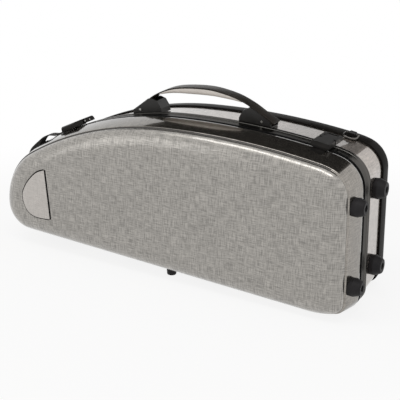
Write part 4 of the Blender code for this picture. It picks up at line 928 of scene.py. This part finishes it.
def add_stud(node, y, inset_at, body):
    """A stud whose tip is flat on the ground and whose base follows the wall."""
    foot = straight_seat("bottom", RUNS["bottom"]["length"] - STUD_FROM_HEEL).point(0, 0, 0)
    slope = math.radians(BOTTOM_SLOPE)
    out, up = STUD_EDGE_SHARES
    profile = ((STUD_TIP_R, 0.0), (STUD_TIP_R + FOOT_EDGE * out, FOOT_EDGE * up),
               (STUD_TIP_R + FOOT_EDGE, FOOT_EDGE), (STUD_R, None))

    def spot(along, deep, height):
        wall = foot.z - along * math.tan(slope) + inset_at(abs(y + deep)) / math.cos(slope)
        z = wall - GAP if height is None else height
        return Vector((foot.x + along, SEAM_Y + y + deep, z))

    obj = ring_object(node + "_skin", turned_rings(profile, spot), FOOT)
    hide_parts(node)
    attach(obj, body)


def add_feet():
    feet = (("front", FRONT_FOOT_Y, FRONT_FOOT_R, front_inset, "lid"),
            ("rear", REAR_FOOT_Y, REAR_FOOT_R, rear_inset, "rear_half"))
    for word, y, radius, inset_at, body in feet:
        for level, from_corner in zip(("lower", "upper"), FOOT_FROM_CORNER):
            add_foot(f"end_foot_{word}_{level}", straight_seat("side", from_corner), y, radius,
                     inset_at, body)


# Handle


def pin_spot(side):
    """The handle's pin at one end, -1 or 1, as (x, z)."""
    spot = top_seat(HANDLE_X + side * PIN_HALF_SPAN).point(0.0, 0.0, PIN_HEIGHT)
    return Vector((spot.x, spot.z))


def curve_through(points, steps):
    """A smooth curve through points of any size (Catmull-Rom)."""
    padded = [points[0] * 2 - points[1]] + points + [points[-1] * 2 - points[-2]]
    curve = []
    for index in range(1, len(padded) - 2):
        before, first, last, after = padded[index - 1:index + 3]
        for step in range(steps):
            t = step / steps
            curve.append(0.5 * (2 * first + (last - before) * t
                                + (2 * before - 5 * first + 4 * last - after) * t ** 2
                                + (3 * first - before - 3 * last + after) * t ** 3))
    curve.append(points[-1])
    return curve


def from_shares(x, pairs):
    """A value read off a table of (x, value) pairs, with straight lines between them."""
    for (low, first), (high, last) in zip(pairs, pairs[1:]):
        if x <= high:
            return first + (last - first) * (x - low) / (high - low)
    return pairs[-1][1]


ARCH = [(point.x, point.y) for point in curve_through([Vector(pair) for pair in ARCH_SHARES],
                                                      ARCH_STEPS)]


def arch_point(along, height):
    """A point over the line of the two pins, which lie at -1 and 1 along it."""
    left, right = pin_spot(-1), pin_spot(1)
    middle = (left + right) / 2 + (right - left) / 2 * along
    return Vector((middle.x, middle.y + height * ARCH_RISE))


def strap_depth(along):
    share = from_shares(abs(along), STRAP_END_SHARES)
    return STRAP_WALL + (STRAP_END_DEPTH - STRAP_WALL) * share


def handle_object(name, sections, look):
    """A piece of the handle from sections of (x, [(across, z)]) along it."""
    rings = [[Vector((x, SEAM_Y + HANDLE_Y + across, z)) for across, z in section]
             for x, section in sections]
    return ring_object(name, rings, look)


def add_strap():
    half = HANDLE_WIDTH / 2
    sections = []
    for index, (along, height) in enumerate(ARCH):
        top = arch_point(along, height)
        low = top.y - strap_depth(along)
        from_end = min(index, len(ARCH) - 1 - index)
        tuck = STRAP_ROUND * max(0.0, 1 - from_end / STRAP_TUCK_SECTIONS)
        section = rounded_box((-half, half), (low + tuck, top.y - tuck), STRAP_ROUND)
        sections.append((top.x, section))
    strap = handle_object("strap_cover", sections, STRAP)
    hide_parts("handle_strap")
    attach(strap, "rear_half")


def add_grip():
    """The pale pad under the strap: flat on top, round below, and thin at both ends."""
    first, last = GRIP_SPAN_SHARES
    half = HANDLE_WIDTH / 2 - GRIP_SIDE_INSET
    sections = []
    for step in range(GRIP_STEPS + 1):
        share = step / GRIP_STEPS
        along = first + (last - first) * share
        spot = arch_point(along, from_shares(along, ARCH))
        top = spot.y - strap_depth(along) - GAP
        depth = GRIP_EDGE + (GRIP_DEPTH - GRIP_EDGE) * math.sin(math.pi * share) ** GRIP_POWER
        section = [Vector((-half, top)), Vector((half, top))]
        for turn in range(1, SECTION_STEPS * 2):
            angle = math.pi * turn / (SECTION_STEPS * 2)
            flare = math.copysign(abs(math.cos(angle)) ** GRIP_FLARE_POWER, math.cos(angle))
            belly = math.sin(angle) ** GRIP_BELLY_POWER
            section.append(Vector((half * flare, top - depth * belly)))
        sections.append((spot.x, section))
    grip = handle_object("grip_pad", sections, GRIP)
    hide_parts("handle_grip")
    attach(grip, "rear_half")


# Webbing


def loop_spot(share):
    """The run and heading under the webbing, from its lower end to the latch."""
    lower, upper = RUNS["nose_top"], RUNS["shoulder"]
    latch = top_seat(LATCH_X_LEFT).point(-LATCH_WIDTH / 2 - LOOP_FROM_LATCH, 0.0, 0.0)
    away = Vector((latch.x, latch.z)) - upper["centre"]
    start = math.degrees(math.atan2(away.x, -away.y)) % 360.0
    distance = LOOP_LENGTH * (1.0 - share)
    upper_length = upper["radius"] * math.radians(upper["last"] - start)
    if distance <= upper_length:
        return upper, start + math.degrees(distance / upper["radius"])
    return lower, lower["first"] + math.degrees((distance - upper_length) / lower["radius"])


def eased(share, pairs):
    """A value from a table, with its corners rounded."""
    steps = range(-EASE_STEPS, EASE_STEPS + 1)
    return sum(from_shares(clamped(share + LOOP_EASE_SHARE * step / EASE_STEPS), pairs)
               for step in steps) / len(steps)


def add_webbing():
    rings = []
    for step in range(LOOP_STEPS + 1):
        run, heading = loop_spot(step / LOOP_STEPS)
        inner = GAP + LOOP_LIFT * eased(step / LOOP_STEPS, LOOP_INNER_SHARES)
        outer = LOOP_LIFT * eased(step / LOOP_STEPS, LOOP_OUTER_SHARES)
        ring = []
        for y, height in rounded_box(LOOP_Y, (inner, outer), STRAP_ROUND):
            spot = arc_point(run["centre"], run["radius"] + height, heading)
            ring.append(Vector((spot.x, SEAM_Y + y, spot.y)))
        rings.append(ring)
    obj = ring_object("webbing_strap", rings, WEBBING)
    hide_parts("webbing_loop")
    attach(obj, "rear_half")


# Badge


def add_badge_shadow_line():
    """A thin black sheet under the bare plate, reaching out round it: a painted shadow seen as a
    line round the plate.
    """
    points = [Vector((DATUM_X + BADGE_CORNER[0] + BADGE_SIZE[0] * across,
                      BADGE_CORNER[1] + BADGE_SIZE[1] * up))
              for across, up in curve_through([Vector(pair) for pair in BADGE_SHARES],
                                              BADGE_STEPS)]
    count = len(points)
    rings = [[], []]
    for index, point in enumerate(points):
        along = (points[(index + 1) % count] - points[index - 1]).normalized()
        spot = point + Vector((along.y, -along.x)) * BADGE_SHADOW_OUT
        for ring, depth in zip(rings, (0.0, BADGE_SHADOW_THICK)):
            ring.append(Vector((spot.x, SEAM_Y - FRONT_DEPTH - depth, spot.y)))
    shadow_line = ring_object("badge_shadow_line", rings, SEAL)
    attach(shadow_line, "lid")


# Nodes kept from the CAD


def dress_nodes():
    """Give each node the first finish that fits its name."""
    for name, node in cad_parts.items():
        for look, edge, starts in FINISHES:
            if name.startswith(starts):
                node.data.materials.clear()
                node.data.materials.append(look)
                if edge:
                    bevel = node.modifiers.new("edges", "BEVEL")
                    bevel.width = edge
                    bevel.segments = BEVEL_SEGMENTS
                    bevel.limit_method = "ANGLE"
                    bevel.angle_limit = math.radians(BEVEL_ANGLE)
                break


# Floor, lamps, world and camera


def seen_rays(nodes, links):
    """One for the camera's rays and for those in gloss and through glass."""
    paths = nodes.new("ShaderNodeLightPath")
    seen = None
    for ray in ("Is Camera Ray", "Is Glossy Ray", "Is Transmission Ray"):
        node = nodes.new("ShaderNodeMath")
        node.operation = "MAXIMUM"
        links.new(paths.outputs[ray], node.inputs[0])
        links.new(seen or paths.outputs[ray], node.inputs[1])
        seen = node.outputs["Value"]
    return seen


def mixed_shaders(nodes, links, weight, first, second):
    mix = nodes.new("ShaderNodeMixShader")
    links.new(weight, mix.inputs["Fac"])
    links.new(first, mix.inputs[1])
    links.new(second, mix.inputs[2])
    return mix.outputs["Shader"]


def floor_look():
    """Matt and pale for the light, and close to white where it is seen."""
    look = Look("pale_floor", FLOOR_COLOUR, 0.9, Specular_IOR_Level=0.0)
    nodes, links = look.nodes, look.links
    spot = nodes.new("ShaderNodeTexCoord")
    far = nodes.new("ShaderNodeVectorMath")
    far.operation = "LENGTH"
    links.new(spot.outputs["Object"], far.inputs[0])
    fade = look.spread(far.outputs["Value"], *FLOOR_FADE, FLOOR_GLOW, 1.0, curve="SMOOTHSTEP")
    weight = look.combine("MULTIPLY", seen_rays(nodes, links), fade)
    glow = nodes.new("ShaderNodeEmission")
    glow.inputs["Color"].default_value = grey(1.0)
    mixed = mixed_shaders(nodes, links, weight, look.shader.outputs["BSDF"],
                          glow.outputs["Emission"])
    links.new(mixed, nodes["Material Output"].inputs["Surface"])
    return look.material


def add_floor():
    shape = bmesh.new()
    bmesh.ops.create_grid(shape, x_segments=1, y_segments=1, size=FLOOR_HALF)
    mesh = taken_mesh("floor", shape)
    mesh.materials.append(floor_look())
    floor = linked_object("floor", mesh)
    floor.location = (0.0, 0.0, -FLOOR_DROP)


def add_lamp(name, place, target, box, watts):
    lamp = bpy.data.lights.new(name, "AREA")
    lamp.shape = "RECTANGLE"
    lamp.size, lamp.size_y = box
    lamp.energy = watts
    obj = linked_object(name, lamp)
    obj.location = place
    obj.rotation_euler = (Vector(target) - Vector(place)).to_track_quat("-Z", "Y").to_euler()


def add_world():
    """White to the camera, in gloss and through glass; an even room for light."""
    world = bpy.data.worlds.new("studio")
    bpy.context.scene.world = world
    world.use_nodes = True
    nodes, links = world.node_tree.nodes, world.node_tree.links
    nodes.clear()
    shaders = []
    for colour, strength in ((ROOM_COLOUR, ROOM_LIGHT), (grey(1.0), 1.0)):
        background = nodes.new("ShaderNodeBackground")
        background.inputs["Color"].default_value = colour
        background.inputs["Strength"].default_value = strength
        shaders.append(background.outputs["Background"])
    mixed = mixed_shaders(nodes, links, seen_rays(nodes, links), *shaders)
    output = nodes.new("ShaderNodeOutputWorld")
    links.new(mixed, output.inputs["Surface"])


def add_dark_panel(name, low, high):
    """A black panel that only the gloss of the case shows."""
    shape = bmesh.new()
    corners = ((low[0], low[1], low[2]), (high[0], low[1], low[2]),
               (high[0], high[1], high[2]), (low[0], high[1], high[2]))
    shape.faces.new([shape.verts.new(corner) for corner in corners])
    mesh = taken_mesh(name, shape)
    mesh.materials.append(Look(name, PANEL_COLOUR, 1.0, Specular_IOR_Level=0.0).material)
    panel = linked_object(name, mesh)
    for ray in ("camera", "diffuse", "transmission", "volume_scatter", "shadow"):
        setattr(panel, f"visible_{ray}", False)


def add_camera():
    azimuth, elevation, roll = (math.radians(angle) for angle in
                                (CAMERA_AZIMUTH, CAMERA_ELEVATION, CAMERA_ROLL))
    back = Vector((math.sin(azimuth) * math.cos(elevation),
                   -math.cos(azimuth) * math.cos(elevation), math.sin(elevation)))
    level = Vector((math.cos(azimuth), math.sin(azimuth), 0.0))
    right = level * math.cos(roll) + back.cross(level) * math.sin(roll)
    up = back.cross(right)
    target = Vector((DATUM_X + CAMERA_TARGET_X, SEAM_Y, CAMERA_TARGET_Z))
    place = target + back * CAMERA_DISTANCE
    lens = bpy.data.cameras.new("camera")
    lens.lens = CAMERA_LENS
    lens.sensor_width = SENSOR_WIDTH
    camera = linked_object("camera", lens)
    camera.matrix_world = Matrix(((right.x, up.x, back.x, place.x),
                                  (right.y, up.y, back.y, place.y),
                                  (right.z, up.z, back.z, place.z), (0.0, 0.0, 0.0, 1.0)))
    bpy.context.scene.camera = camera


add_camera()
add_world()
add_floor()
for panel_name, panel_corners in PANELS.items():
    add_dark_panel(panel_name, *panel_corners)
for lamp_name, lamp_values in LAMPS.items():
    add_lamp(lamp_name, *lamp_values)
bpy.context.scene.view_settings.view_transform = "Standard"

add_shell("front_skin", "front_shell", front_path(), -1, FRONT_WALL, "lid")
add_shell("rear_skin", "rear_shell", rear_path(), 1, REAR_WALL, "rear_half")
add_seal()
add_rim_profile()
add_bumper()
add_plush("rear_plush", "rear_padding", "rear_half")
add_plush("lid_plush", "lid_padding", "lid")
add_feet()
add_stud("bottom_stud_front", STUD_FRONT_Y, front_inset, "lid")
add_stud("bottom_stud_rear", STUD_REAR_Y, rear_inset, "rear_half")
add_strap()
add_grip()
add_webbing()
add_badge_shadow_line()
dress_nodes()
